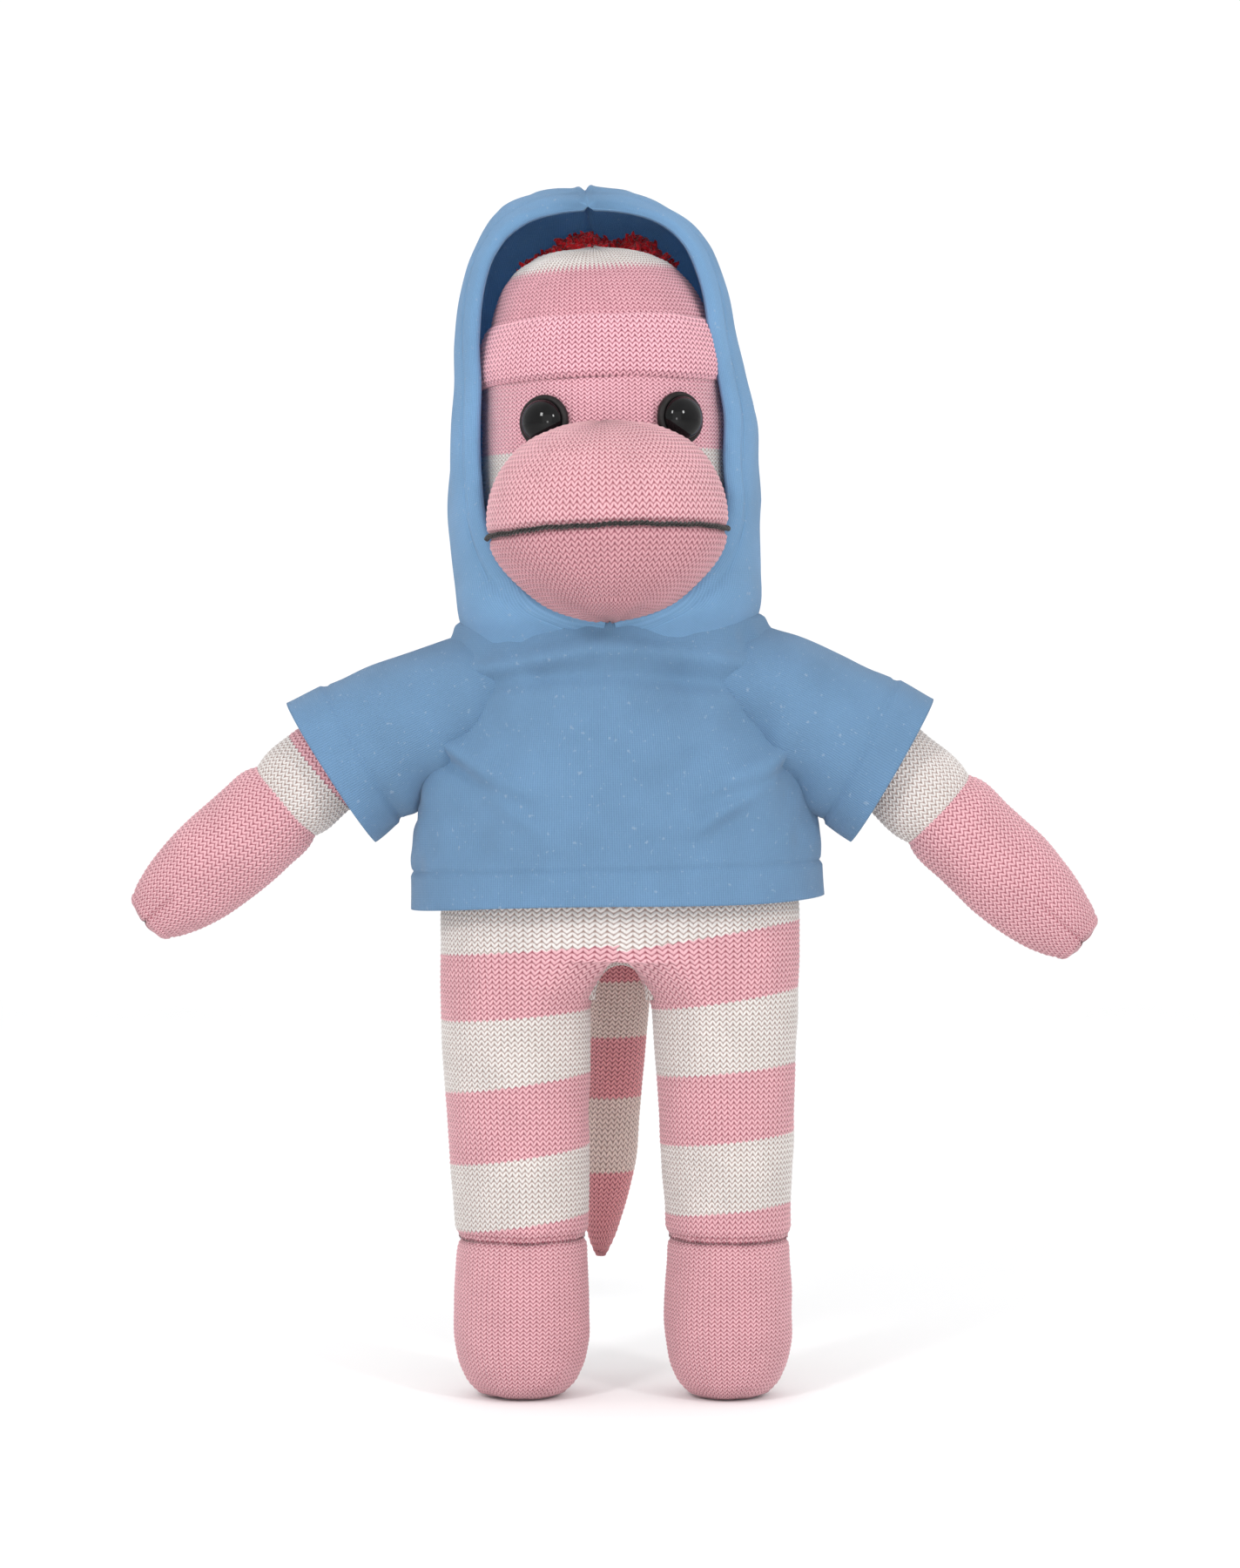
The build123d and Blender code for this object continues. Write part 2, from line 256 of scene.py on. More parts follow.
def recalculate(piece):
    """Makes all faces look outwards."""
    work = bmesh.new()
    work.from_mesh(piece.data)
    bmesh.ops.recalc_face_normals(work, faces=work.faces)
    work.to_mesh(piece.data)
    work.free()


def knit_grid(place, wales, length, seed, stripes=None, relief=RELIEF,
              steps=(WALE_STEPS, COURSE_STEPS)):
    """Stitched surface: place(angle share, length share) gives points; returns points, uv, stripe."""
    cols = wales * steps[0]
    courses = max(int(round(length / COURSE)), 1)
    rows = courses * steps[1] + 1
    u = np.arange(cols) / cols
    v = np.arange(rows) / (rows - 1)
    points = place(u[None, :] + np.zeros((rows, 1)), v[:, None] + np.zeros((1, cols)))
    normal = outward(points)
    wobble = 0.16 * noise_field(points.shape[:2], (max(courses // 6, 2), max(wales // 5, 4)), seed)
    uu = u[None, :] * wales + 0 * v[:, None]
    vv = v[:, None] * courses + 0 * u[None, :]
    height = stitch_height(uu, vv)
    points = points + normal * (relief * (height - 0.6) + wobble)[..., None]
    u_edge = np.arange(cols + 1)[None, :] / steps[0] + np.zeros((rows, 1))
    v_edge = np.arange(rows)[:, None] / steps[1] + np.zeros((1, cols + 1))
    mask = None
    if stripes is not None:
        a = np.abs(uu - np.floor(uu) - 0.5) * 2
        mask = smoothstep(-0.4, 0.4, stripes(points, uu, vv) + 0.5 * COURSE * (a - 0.5))
    return points, (u_edge, v_edge), mask


# ---------------------------------------------------------------- materials
class Shader:
    """A material's nodes, with arithmetic written as calls."""

    def __init__(self, name, rough, sheen=0.0):
        self.material = bpy.data.materials.new(name)
        self.material.use_nodes = True
        self.tree = self.material.node_tree
        self.bsdf = self.tree.nodes["Principled BSDF"]
        self.bsdf.inputs["Roughness"].default_value = rough
        self.bsdf.inputs["Specular IOR Level"].default_value = 0.25
        if sheen:
            self.bsdf.inputs["Sheen Weight"].default_value = sheen
            self.bsdf.inputs["Sheen Roughness"].default_value = 0.45

    def node(self, kind, **sockets):
        node = self.tree.nodes.new(kind)
        for name, value in sockets.items():
            self.put(node.inputs[name.replace("_", " ")], value)
        return node

    def put(self, socket, value):
        if isinstance(value, bpy.types.NodeSocket):
            self.tree.links.new(value, socket)
        else:
            socket.default_value = value

    def math(self, operation, a, b=0.0, c=None, clamp=False):
        node = self.tree.nodes.new("ShaderNodeMath")
        node.operation = operation
        node.use_clamp = clamp
        self.put(node.inputs[0], a)
        self.put(node.inputs[1], b)
        if c is not None:
            node.inputs[2].default_value = c
        return node.outputs[0]

    def ramp(self, value, low, high):
        """0 below low, 1 above high, smooth between."""
        node = self.tree.nodes.new("ShaderNodeMapRange")
        node.interpolation_type = "SMOOTHSTEP"
        self.put(node.inputs["Value"], value)
        node.inputs["From Min"].default_value = low
        node.inputs["From Max"].default_value = high
        return node.outputs["Result"]

    def mix(self, share, a, b):
        node = self.tree.nodes.new("ShaderNodeMix")
        node.data_type = "RGBA"
        self.put(node.inputs["Factor"], share)
        for socket, value in ((node.inputs[6], a), (node.inputs[7], b)):
            self.put(socket, value if isinstance(value, bpy.types.NodeSocket) else (*value, 1))
        return node.outputs[2]

    def scale_colour(self, colour, factor):
        node = self.tree.nodes.new("ShaderNodeMix")
        node.data_type = "RGBA"
        node.blend_type = "MULTIPLY"
        node.inputs["Factor"].default_value = 1.0
        self.put(node.inputs[6], colour)
        grey = self.node("ShaderNodeCombineColor", Red=factor, Green=factor, Blue=factor)
        self.put(node.inputs[7], grey.outputs[0])
        return node.outputs[2]

    def noise(self, scale, detail):
        node = self.tree.nodes.new("ShaderNodeTexNoise")
        node.inputs["Scale"].default_value = scale
        node.inputs["Detail"].default_value = detail
        self.put(node.inputs["Vector"], self.tree.nodes.new("ShaderNodeTexCoord").outputs["Object"])
        return node.outputs[0]

    def uv(self):
        node = self.tree.nodes.new("ShaderNodeUVMap")
        node.uv_map = "stitch"
        split = self.node("ShaderNodeSeparateXYZ", Vector=node.outputs[0])
        return split.outputs[0], split.outputs[1]

    def finish(self, colour, height, distance, strength=1.0):
        self.put(self.bsdf.inputs["Base Color"], colour)
        node = self.tree.nodes.new("ShaderNodeBump")
        node.inputs["Strength"].default_value = strength
        node.inputs["Distance"].default_value = distance
        self.put(node.inputs["Height"], height)
        self.put(self.bsdf.inputs["Normal"], node.outputs[0])
        return self.material


def srgb(*values):
    """Display colour 0..255 to linear."""
    out = []
    for value in values:
        value = value / 255
        out.append(value / 12.92 if value <= 0.04045 else ((value + 0.055) / 1.055) ** 2.4)
    return tuple(out)


def knit_material(name, pink, pink_deep, white, white_deep, striped):
    """Stocking stitch in wool: V-shaped stitches, deeper colour in the gaps between them (partly stuffing
    showing through, partly painted shade), fuzz.
    """
    s = Shader(name, 0.95, sheen=0.25)
    u, v = s.uv()
    a = s.math("MULTIPLY", s.math("ABSOLUTE", s.math("SUBTRACT", s.math("FRACT", u), 0.5)), 2.0)
    drift = s.math("MULTIPLY", s.math("SUBTRACT", s.noise(260.0, 1.0), 0.5), 0.35)
    phase = s.math("ADD", s.math("SUBTRACT", v, s.math("MULTIPLY", a, 0.75)), drift)
    leg = s.math("MULTIPLY_ADD", s.math("COSINE", s.math("MULTIPLY", phase, 2 * math.pi)), 0.5, 0.5)
    edge = s.math("MULTIPLY", s.ramp(a, 0.55, 1.0), 0.5)
    groove = s.math("MULTIPLY", s.math("SUBTRACT", 1.0, s.ramp(a, 0.0, 0.3)), 0.25)
    wale = s.math("SUBTRACT", s.math("SUBTRACT", 1.0, edge), groove)
    body = s.math("MULTIPLY", wale, s.math("MULTIPLY_ADD", leg, 0.75, 0.25))
    fibre = s.noise(2600.0, 3.0)
    height = s.math("ADD", body, s.math("MULTIPLY", fibre, 0.35))
    # Painted shade, partly stuffing seen through: the colour falls to the deep tone where the stitch relief
    # is low, in the gaps between the yarn.
    open_share = s.ramp(s.math("ADD", body, s.math("MULTIPLY", fibre, 0.12)), 0.12, 0.72)
    pinks = s.mix(open_share, pink_deep, pink)
    if striped:
        stripe = s.tree.nodes.new("ShaderNodeAttribute")
        stripe.attribute_name = "stripe"
        whites = s.mix(open_share, white_deep, white)
        colour = s.mix(s.ramp(stripe.outputs["Fac"], 0.2, 0.8), whites, pinks)
    else:
        colour = pinks
    patch = s.math("MULTIPLY_ADD", s.noise(90.0, 2.0), 0.22, 0.89)
    flecks = s.math("MULTIPLY_ADD", s.noise(1500.0, 2.0), 0.3, 0.85)
    colour = s.scale_colour(colour, s.math("MULTIPLY", patch, flecks))
    return s.finish(colour, height, 0.00035, 0.8)


def jersey_material(name, light, deep):
    """Fine cotton jersey: thin wales across the cloth, faint courses, a little lint."""
    s = Shader(name, 0.88, sheen=0.2)
    u, v = s.uv()
    wale = s.math("SINE", s.math("MULTIPLY", u, 2 * math.pi / 0.55))
    course = s.math("SINE", s.math("MULTIPLY", v, 2 * math.pi / 0.42))
    fine = s.math("ADD", s.math("MULTIPLY", wale, 0.5), s.math("MULTIPLY", course, 0.2))
    fibre = s.noise(3000.0, 3.0)
    height = s.math("ADD", fine, s.math("MULTIPLY", fibre, 1.1))
    # Painted shade in the fine grooves: darker where the wale and course relief is low, mixed with random
    # fibre tone.
    share = s.math("MULTIPLY_ADD", height, 0.22, 0.38, clamp=True)
    colour = s.mix(share, deep, light)
    patch = s.math("MULTIPLY_ADD", s.noise(60.0, 4.0), 0.3, 0.85)
    colour = s.scale_colour(colour, patch)
    lint = s.math("MULTIPLY", s.ramp(s.noise(750.0, 2.0), 0.66, 0.74), 0.3)
    colour = s.mix(lint, colour, srgb(190, 205, 220))
    through = s.node("ShaderNodeBsdfTranslucent", Color=colour)
    both = s.tree.nodes.new("ShaderNodeMixShader")
    both.inputs[0].default_value = 0.33
    s.put(both.inputs[1], s.bsdf.outputs[0])
    s.put(both.inputs[2], through.outputs[0])
    s.put(s.tree.nodes["Material Output"].inputs["Surface"], both.outputs[0])
    return s.finish(colour, height, 0.00012, 0.7)


def yarn_material(name, light, deep, scale):
    s = Shader(name, 0.95, sheen=0.3)
    fibre = s.noise(scale, 4.0)
    tuft = s.noise(scale / 5, 2.0)
    colour = s.mix(s.ramp(s.math("ADD", s.math("MULTIPLY", fibre, 0.6),
                                 s.math("MULTIPLY", tuft, 0.4)), 0.35, 0.65), deep, light)
    return s.finish(colour, fibre, 0.0004, 0.9)


def plastic_material(name, colour, rough, grain, shine=0.5):
    s = Shader(name, rough)
    s.bsdf.inputs["Specular IOR Level"].default_value = shine
    fine = s.noise(grain, 2.0)
    shade = s.mix(s.ramp(fine, 0.3, 0.7), colour, tuple(min(c * 1.6 + 0.002, 1) for c in colour))
    return s.finish(shade, fine, 0.00002, 0.15)


# Each deep tone colours the gaps between stitches: partly stuffing seen through, partly painted shade.
PINK = srgb(218, 168, 175)
PINK_DEEP = srgb(134, 68, 80)
# Darker copy of the pink for the lower half of the muzzle: painted shade, as it faces down away from the
# light.
PINK_PAINTED_SHADE = srgb(200, 148, 155)
PINK_PAINTED_SHADE_DEEP = srgb(122, 64, 76)
HOT = srgb(232, 176, 187)
HOT_DEEP = srgb(118, 44, 66)
CROWN = srgb(212, 158, 168)
FACE_DEEP = srgb(128, 66, 80)
WHITE = srgb(217, 212, 209)
WHITE_DEEP = srgb(140, 116, 108)
# Lighter copies of the stripe colours for the tail: painted light, where the tail hangs in shade behind the
# legs.
TAIL_PINK_PAINTED_LIGHT = srgb(240, 170, 175)
TAIL_CREAM_PAINTED_LIGHT = srgb(242, 224, 216)
knit_stripes = knit_material("knit_stripes", PINK, PINK_DEEP, WHITE, WHITE_DEEP, True)
knit_pink = knit_material("knit_pink", PINK, PINK_DEEP, WHITE, WHITE_DEEP, False)
knit_open = knit_material("knit_open", HOT, FACE_DEEP, WHITE, WHITE_DEEP, True)
knit_crown = knit_material("knit_crown", CROWN, FACE_DEEP, WHITE, WHITE_DEEP, True)
# Painted shade: the darker pink knit worn by the lower muzzle.
knit_pink_painted_shade = knit_material("knit_pink_painted_shade", PINK_PAINTED_SHADE, PINK_PAINTED_SHADE_DEEP, WHITE, WHITE_DEEP, False)
knit_hot = knit_material("knit_hot", HOT, HOT_DEEP, WHITE, WHITE_DEEP, False)
knit_tail_painted_light = knit_material("knit_tail_painted_light", TAIL_PINK_PAINTED_LIGHT, PINK_DEEP, TAIL_CREAM_PAINTED_LIGHT, WHITE_DEEP, True)
jersey = jersey_material("jersey", srgb(135, 174, 209), srgb(88, 124, 160))
# A lighter copy of the shirt's jersey for the hood and collar: painted light, the same cloth shown brighter.
hood_jersey_painted_light = jersey_material("hood_jersey_painted_light", srgb(148, 193, 231), srgb(100, 141, 180))
red_yarn = yarn_material("red_yarn", srgb(244, 34, 46), srgb(150, 8, 16), 1700.0)
black_yarn = yarn_material("black_yarn", srgb(52, 46, 44), srgb(12, 10, 10), 3500.0)
eye_gloss = plastic_material("eye_gloss", srgb(3, 3, 4), 0.04, 300.0, 0.22)
eye_matte = plastic_material("eye_matte", srgb(24, 21, 21), 0.5, 900.0, 0.2)
washer_plastic = plastic_material("washer_plastic", srgb(225, 224, 220), 0.5, 900.0)


# ---------------------------------------------------------------- legs and feet
ANKLE_Z = 40.5
CROTCH = (97.0, 115.0)          # over this height the two legs grow into one body
ARCH_TOP = 111.0                # the gap between the legs ends here in a round arch
# height, middle across, half width, half depth
LEG_KEYS = {
    -1: [(38, -24.8, 16.6, 15.9), (50, -25.0, 17.2, 16.3), (70, -25.7, 18.0, 16.8),
         (90, -26.2, 18.7, 17.4), (108, -26.4, 19.0, 19.5), (135, -26.4, 19.2, 23.0)],
    1: [(38, 27.4, 15.7, 15.6), (50, 27.3, 16.0, 16.0), (70, 26.9, 17.0, 16.6),
        (90, 26.5, 18.0, 17.4), (108, 26.4, 18.8, 19.5), (135, 26.4, 19.2, 23.0)],
}
FOOT_KEYS = [(0, 0.42, 0.45), (0.02, 0.58, 0.62), (0.07, 0.75, 0.82), (0.16, 0.89, 0.97),
             (0.32, 1.0, 1.08), (0.55, 1.02, 1.08), (0.8, 0.99, 1.02), (0.93, 0.965, 0.97), (1, 0.93, 0.93)]
# pink bands as (low, high, tilt): heights at the leg's middle, tilt in mm per mm across
BANDS = {-1: ((30, 44.0, 0.14), (61.0, 79.4, 0.14), (96.5, 113.2, 0.08)),
         1: ((30, 47.6, 0.1), (65.2, 82.7, 0.1), (100.5, 117.6, 0.15))}


def within(level, low, high):
    """Signed depth inside a band, in millimetres."""
    return np.minimum(level - low, high - level)


def leg_place(side):
    keys = LEG_KEYS[side]

    def place(u, v):
        z = ANKLE_Z - 0.5 + v * (136 - ANKLE_Z)
        middle, half_x, half_y = along(keys, z[:, 0]).T[:, :, None]
        angle = 2 * math.pi * u                          # 0 points at the other leg
        x = side * (middle * side - half_x * np.cos(angle))
        y = -half_y * np.sin(angle)
        grown = smoothstep(*CROTCH, z) + 0 * u
        arch = 1 - np.sqrt(1 - np.clip((z - CROTCH[0]) / (ARCH_TOP - CROTCH[0]), 0, 1) ** 2)
        near = smoothstep(0.2, 0.1, np.minimum(u, 1 - u))
        grown = grown + 0.65 * near * (arch - grown)
        share = np.clip((u - 0.1) / 0.8, 0, 1)           # along the outer arc
        sweep = math.pi * share
        body_x = 46.2 * np.sin(sweep) ** 0.9 - 1.0
        body_y = -24.5 * np.cos(sweep)
        inner = (u < 0.1) | (u > 0.9)
        wall = np.where(u < 0.5, -u / 0.1, (1 - u) / 0.1) * 24.5
        body_y = np.where(inner, wall, body_y)
        body_x = np.where(inner, -1.0, body_x)
        x = x * (1 - grown) + side * body_x * grown
        y = y * (1 - grown) + body_y * grown
        return np.stack([x, y, z + 0 * x], -1)
    return place


def leg_stripes(side):
    def stripes(points, u, v):
        depth = -99.0
        for low, high, tilt in BANDS[side]:
            level = points[..., 2] - tilt * (points[..., 0] - side * 26)
            depth = np.maximum(depth, within(level, low, high))
        return depth
    return stripes


def foot_place(side):
    middle, half_x, half_y = along(LEG_KEYS[side], [ANKLE_Z])[0]

    def place(u, v):
        z = 0.2 + v * (ANKLE_Z + 0.6)
        wide, deep = along(FOOT_KEYS, v[:, 0]).T[:, :, None]
        forward = 3.2 * (1 - v)
        angle = 2 * math.pi * u
        x = middle - side * half_x * wide * np.cos(angle)
        y = -half_y * deep * np.sin(angle) - forward
        return np.stack([x, y, z + 0 * x], -1)
    return place


def pucker(points, at, count, amount, width, seed=3):
    """The crease of a sewn seam at height at, with faint gathers."""
    angle = 2 * math.pi * np.arange(points.shape[1])[None, :] / points.shape[1]
    wave = np.sin(angle * count + seed) + 0.6 * np.sin(angle * count * 1.7 + 2 * seed)
    near = bump_at(points[..., 2], at, width)
    return outward(points) * (amount * near * (0.12 * wave - 1.0))[..., None]


def build_leg(side, name):
    body = "leg_" + name
    points, uv, stripe = knit_grid(leg_place(side), 68, 95.5, seed=11 + side,
                                   stripes=leg_stripes(side))
    points += pucker(points, ANKLE_Z, 14, 1.0, 1.3, seed=side + 2)
    leg = make_piece("leg_knit_" + name, points, knit_stripes, uv=uv, stripe=stripe,
                     leaning=False)
    points, uv, _ = knit_grid(foot_place(side), 66, 52, seed=17 + side)
    points += pucker(points, ANKLE_Z, 14, 1.0, 1.3, seed=side + 2)
    points[..., 2] = np.maximum(points[..., 2], 0.05)
    foot = make_piece("foot_knit_" + name, points, knit_pink, uv=uv, caps=(True, False),
                      leaning=False)
    declare(leg, "striped_knit", None, "leg_skin_" + name, "leg_stuffing_" + name, fill=0.7)
    declare(foot, "pink_knit", body, "foot_skin_" + name, fill=0.75)
    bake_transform(leg)


for side, name in ((-1, "left"), (1, "right")):
    build_leg(side, name)


# ---------------------------------------------------------------- torso under the shirt
def torso_place(u, v):
    z = 127 + v * 68
    keys = [(127, 42, 22), (135, 45, 25), (150, 44, 25.5), (170, 41, 24.5), (184, 34, 21.5), (195, 20, 15)]
    half_x, half_y = along(keys, z[:, 0]).T[:, :, None]
    angle = 2 * math.pi * u
    return np.stack([half_x * np.cos(angle), half_y * np.sin(angle), z + 0 * u], -1)


points, uv, stripe = knit_grid(torso_place, 120, 66, seed=5, steps=(2, 2),
                               stripes=lambda p, u, v: 17 / math.pi * np.sin(p[..., 2] * math.pi / 17))
torso = make_piece("torso_knit", points, knit_stripes, uv=uv, stripe=stripe, caps=(True, True))
declare(torso, "striped_knit", "torso", "torso_skin", "torso_stuffing", fill=0.7)


# ---------------------------------------------------------------- tail
def tail_place(u, v):
    """Down from under the back of the shirt, drifting sideways."""
    keys = [(0, 0.5, 22.0, 119.0, 7.4), (0.15, 0.6, 25.5, 108.0, 7.7), (0.4, -1.4, 28.5, 88.0, 7.6),
            (0.62, -3.2, 31.0, 69.0, 7.3), (0.8, -4.9, 33.5, 51.0, 6.6), (0.9, -6.0, 34.8, 42.0, 5.0),
            (0.97, -6.9, 35.8, 34.5, 3.0), (1.0, -7.2, 36.4, 30.5, 1.2)]
    x, y, z, half = along(keys, v[:, 0]).T[:, :, None]
    angle = 2 * math.pi * u
    return np.stack([x + half * np.cos(angle), y + half * np.sin(angle), z + 0.15 * half * np.sin(angle)], -1)


def tail_stripes(points, u, v):
    z = points[..., 2]
    return np.maximum(np.maximum(z - 103, within(z, 72.6, 88.5)), 53 - z)


points, uv, stripe = knit_grid(tail_place, 30, 91, seed=21, stripes=tail_stripes)
# The tail wears the lighter stripe colours: painted light.
tail = make_piece("tail_knit", points, knit_tail_painted_light, uv=uv, stripe=stripe, caps=(True, True))
declare(tail, "striped_knit", "tail", "tail_skin", "tail_tip_skin", "tail_stuffing", fill=0.7)


# ---------------------------------------------------------------- rolled edge between the legs
def arch_place(u, v):
    """A thin roll of knit along the arch where the legs part."""
    sweep = math.pi * v
    ring = 2 * math.pi * u
    radius = 1.25
    x = (7.5 + radius * np.cos(ring)) * np.cos(sweep)
    z = 100.4 + (9.8 + radius * np.cos(ring)) * np.sin(sweep) ** 0.8
    return np.stack([x + 0.3, -6.0 + radius * np.sin(ring), z], -1)


points, uv, stripe = knit_grid(arch_place, 6, 32, seed=23, relief=0.25, stripes=lambda p, u, v: -9.0 + 0 * u)
arch = make_piece("crotch_roll", points, knit_stripes, uv=uv, stripe=stripe, caps=(True, True),
                  leaning=False)
declare(arch, "striped_knit", "torso", fill=0.3)


# ---------------------------------------------------------------- arms and hands
ARM_DROP = {-1: math.radians(38.5), 1: math.radians(44.0)}
WRIST = {-1: 53.0, 1: 56.0}
ARM_LENGTH = {-1: 99.8, 1: 105.6}
ARM_RAISE = {-1: 2.9, 1: 2.2}     # the lower arm lies this far over the shoulder's line
ARM_WHITE = {-1: 11.2, 1: 18.5}   # width of the white stripe over the wrist
ARM_ROOT = 17.0                 # the knit starts here, deep in the sleeve


def arm_axes(side):
    drop = ARM_DROP[side]
    line = np.array([side * math.cos(drop), 0, -math.sin(drop)])
    upper = np.array([side * math.sin(drop), 0, math.cos(drop)])
    start = np.array([side * SHOULDER[0], 0, SHOULDER[2]])
    return start, line, upper


def limb_place(side, low, high, keys):
    start, line, upper = arm_axes(side)

    def place(u, v):
        s = low + v * (high - low)
        half_up, half_y, droop = along(keys, s[:, 0]).T[:, :, None]
        angle = 2 * math.pi * u
        up = half_up * np.cos(angle) - droop
        y = half_y * np.sin(angle)
        point = start + s[..., None] * line + up[..., None] * upper
        point[..., 1] = y
        return point
    return place



def arm_keys(side):
    """Distance along the arm, half height, half depth, droop: the arm, then the hand."""
    wrist, end, lift = WRIST[side], ARM_LENGTH[side], ARM_RAISE[side]
    arm = [(0, 8.0, 8.0, 0), (17, 8.8, 8.8, 0), (27, 11.6, 11.4, -0.5 * lift), (42, 12.0, 11.4, -lift),
           (wrist - 2.4, 11.9, 11.3, -lift), (wrist, 11.2, 10.6, -lift)]
    hand = [(wrist - 0.4, 11.2, 10.6, -lift), (wrist + 1.6, 12.1, 11.3, -lift),
            (end - 37, 12.7, 11.4, 0.2 - lift), (end - 25, 12.6, 10.8, 0.3 - lift),
            (end - 14, 11.3, 9.4, 0.3 - lift), (end - 7.5, 9.4, 7.4, 0.3 - lift),
            (end - 3, 7.4, 5.4, 0.2 - lift),
            (end - 0.7, 5.4, 3.8, 0.2 - lift), (end, 2.8, 2.0, 0.2 - lift)]
    return arm, hand


def build_arm(side, name):
    def stripes(points, u, v):
        return WRIST[side] - ARM_ROOT - ARM_WHITE[side] - v * COURSE
    arm_shape, hand_shape = arm_keys(side)
    points, uv, stripe = knit_grid(limb_place(side, ARM_ROOT, WRIST[side], arm_shape), 48,
                                   WRIST[side] - ARM_ROOT, seed=31 + side, stripes=stripes)
    arm = make_piece("arm_knit_" + name, points, knit_stripes, uv=uv, stripe=stripe, caps=(True, False))
    points, uv, _ = knit_grid(limb_place(side, WRIST[side] - 0.4, ARM_LENGTH[side], hand_shape), 46, 48,
                              seed=37 + side)
    start, line, upper = arm_axes(side)
    s = (points - start) @ line
    front = points[..., 1] < 0
    seam = bump_at((points - start) @ upper + 0.4 - ARM_RAISE[side], 0, 0.6) * smoothstep(87, 92, s) * front
    points -= outward(points) * (0.6 * seam)[..., None]
    hand = make_piece("hand_knit_" + name, points, knit_pink, uv=uv, caps=(False, True))
    body = "arm_" + name
    declare(arm, "striped_knit", body, "arm_skin_" + name, "arm_stuffing_" + name, fill=0.7)
    declare(hand, "pink_knit", body, "hand_skin_" + name, fill=0.7)


for side, name in ((-1, "left"), (1, "right")):
    build_arm(side, name)


# ---------------------------------------------------------------- head, cap and muzzle
# height, half width, half depth
HEAD_KEYS = [(194, 12, 12), (197, 17.5, 17.5), (202, 22.4, 22.0), (210, 26.8, 26.6), (222, 29.3, 30),
             (240, 29.8, 31),
             (256, 29.0, 30.2), (266, 27.6, 28.8), (275, 25.4, 26.4), (282, 21.8, 22.8), (287, 16.8, 17.8),
             (289.6, 10.5, 11.5), (290.6, 3.5, 4.0)]


def head_radius(z):
    """Half width and half depth; the stuffed face is a little fuller than the cap."""
    half_x, half_y = along(HEAD_KEYS, z).T[:, :, None]
    return half_x + (1.2 * smoothstep(206, 220, z) * (1 - smoothstep(255, 275, z)))[:, None], half_y


def head_band(low, high, proud=None):
    def place(u, v):
        z = low + v * (high - low)
        half_x, half_y = head_radius(z[:, 0])
        out = 0 if proud is None else along(proud, v[:, 0]).T[0][:, None]
        angle = 2 * math.pi * u + math.pi / 2
        return np.stack([(half_x + out) * np.cos(angle), (half_y + out) * np.sin(angle), z + 0 * u], -1)
    return place


def face_stripes(points, u, v):
    """Pink face with a white band that shows beside the muzzle."""
    return np.maximum(points[..., 2] - 237.5, 219 - points[..., 2])


points, uv, stripe = knit_grid(head_band(194, 262), 122, 88, seed=41, stripes=face_stripes)
face = make_piece("face_knit", points, knit_open, uv=uv, stripe=stripe, caps=(True, False))
declare(face, "pink_knit", "head", "head_skin", "head_stuffing", fill=0.8)


def crown_place(u, v):
    angle = v * math.pi / 2
    z = 258 + 31.0 * np.sin(angle)
    half_x, half_y = head_radius(z[:, 0] + 1.4 * smoothstep(262, 289, z[:, 0]))
    half_x, half_y = half_x + 0.7, half_y + 0.7
    aside = -1.6 * smoothstep(262, 289, z)
    end = np.sqrt(np.clip(1 - v ** 8, 0, 1))
    turn = 2 * math.pi * u + math.pi / 2
    x = half_x * end * np.cos(turn) + aside
    y = half_y * end * np.sin(turn)
    return np.stack([x, y, z + 0.6 * (1 - end)], -1)


def crown_stripes(points, u, v):
    """The top of the cap is white, the front lower part pink."""
    return 0.3 * (283.0 + 0.04 * points[..., 0] - points[..., 2])


points, uv, stripe = knit_grid(crown_place, 116, 52, seed=43, stripes=crown_stripes)
crown = make_piece("cap_crown_knit", points, knit_crown, uv=uv, stripe=stripe, caps=(False, True))
cuff_shape = [(0, 0.1), (0.04, 1.0), (0.2, 2.0), (0.5, 2.3), (0.8, 2.2), (0.93, 1.6), (1.0, 0.5)]
points, uv, _ = knit_grid(head_band(254.6, 270.4, cuff_shape), 118, 17, seed=47)
points[..., 2] += 0.9 * (points[..., 1] < 0) * (np.cos(points[..., 0] / 30 * 1.4) - 0.4)
cuff = make_piece("cap_cuff_knit", points, knit_hot, uv=uv)
declare(crown, "pink_knit", "head", "cap_crown", fill=0.4)
declare(cuff, "pink_knit", "head", "cap_cuff", fill=0.4)

MUZZLE_Y = -28.0
MUZZLE_Z = 220.0
MUZZLE = (29.8, 26.5, 24.4)


def muzzle_place(u, v):
    """Rows run up the muzzle, columns around it; the knit's wales stand upright in front."""
    angle = (v - 0.5) * math.pi * 0.985
    turn = 2 * math.pi * u
    level = np.sin(angle)
    round_out = np.cos(angle) ** 0.82
    x = MUZZLE[0] * round_out * np.sin(turn) * (1 - 0.10 * smoothstep(0.2, 0.9, -level))
    y = -MUZZLE[1] * round_out * np.cos(turn)
    point_down = 1 + 0.02 * bump_at(x, 0, 9) * (level < -0.8)
    z = MUZZLE[2] * level * point_down
    return np.stack([x, MUZZLE_Y + y, MUZZLE_Z + z], -1)


def mouth_z(x):
    return 218.3 + 1.7 * np.cos(np.clip(x / 30, -1, 1) * math.pi / 2) ** 0.6 - 1.7 + 0.012 * x


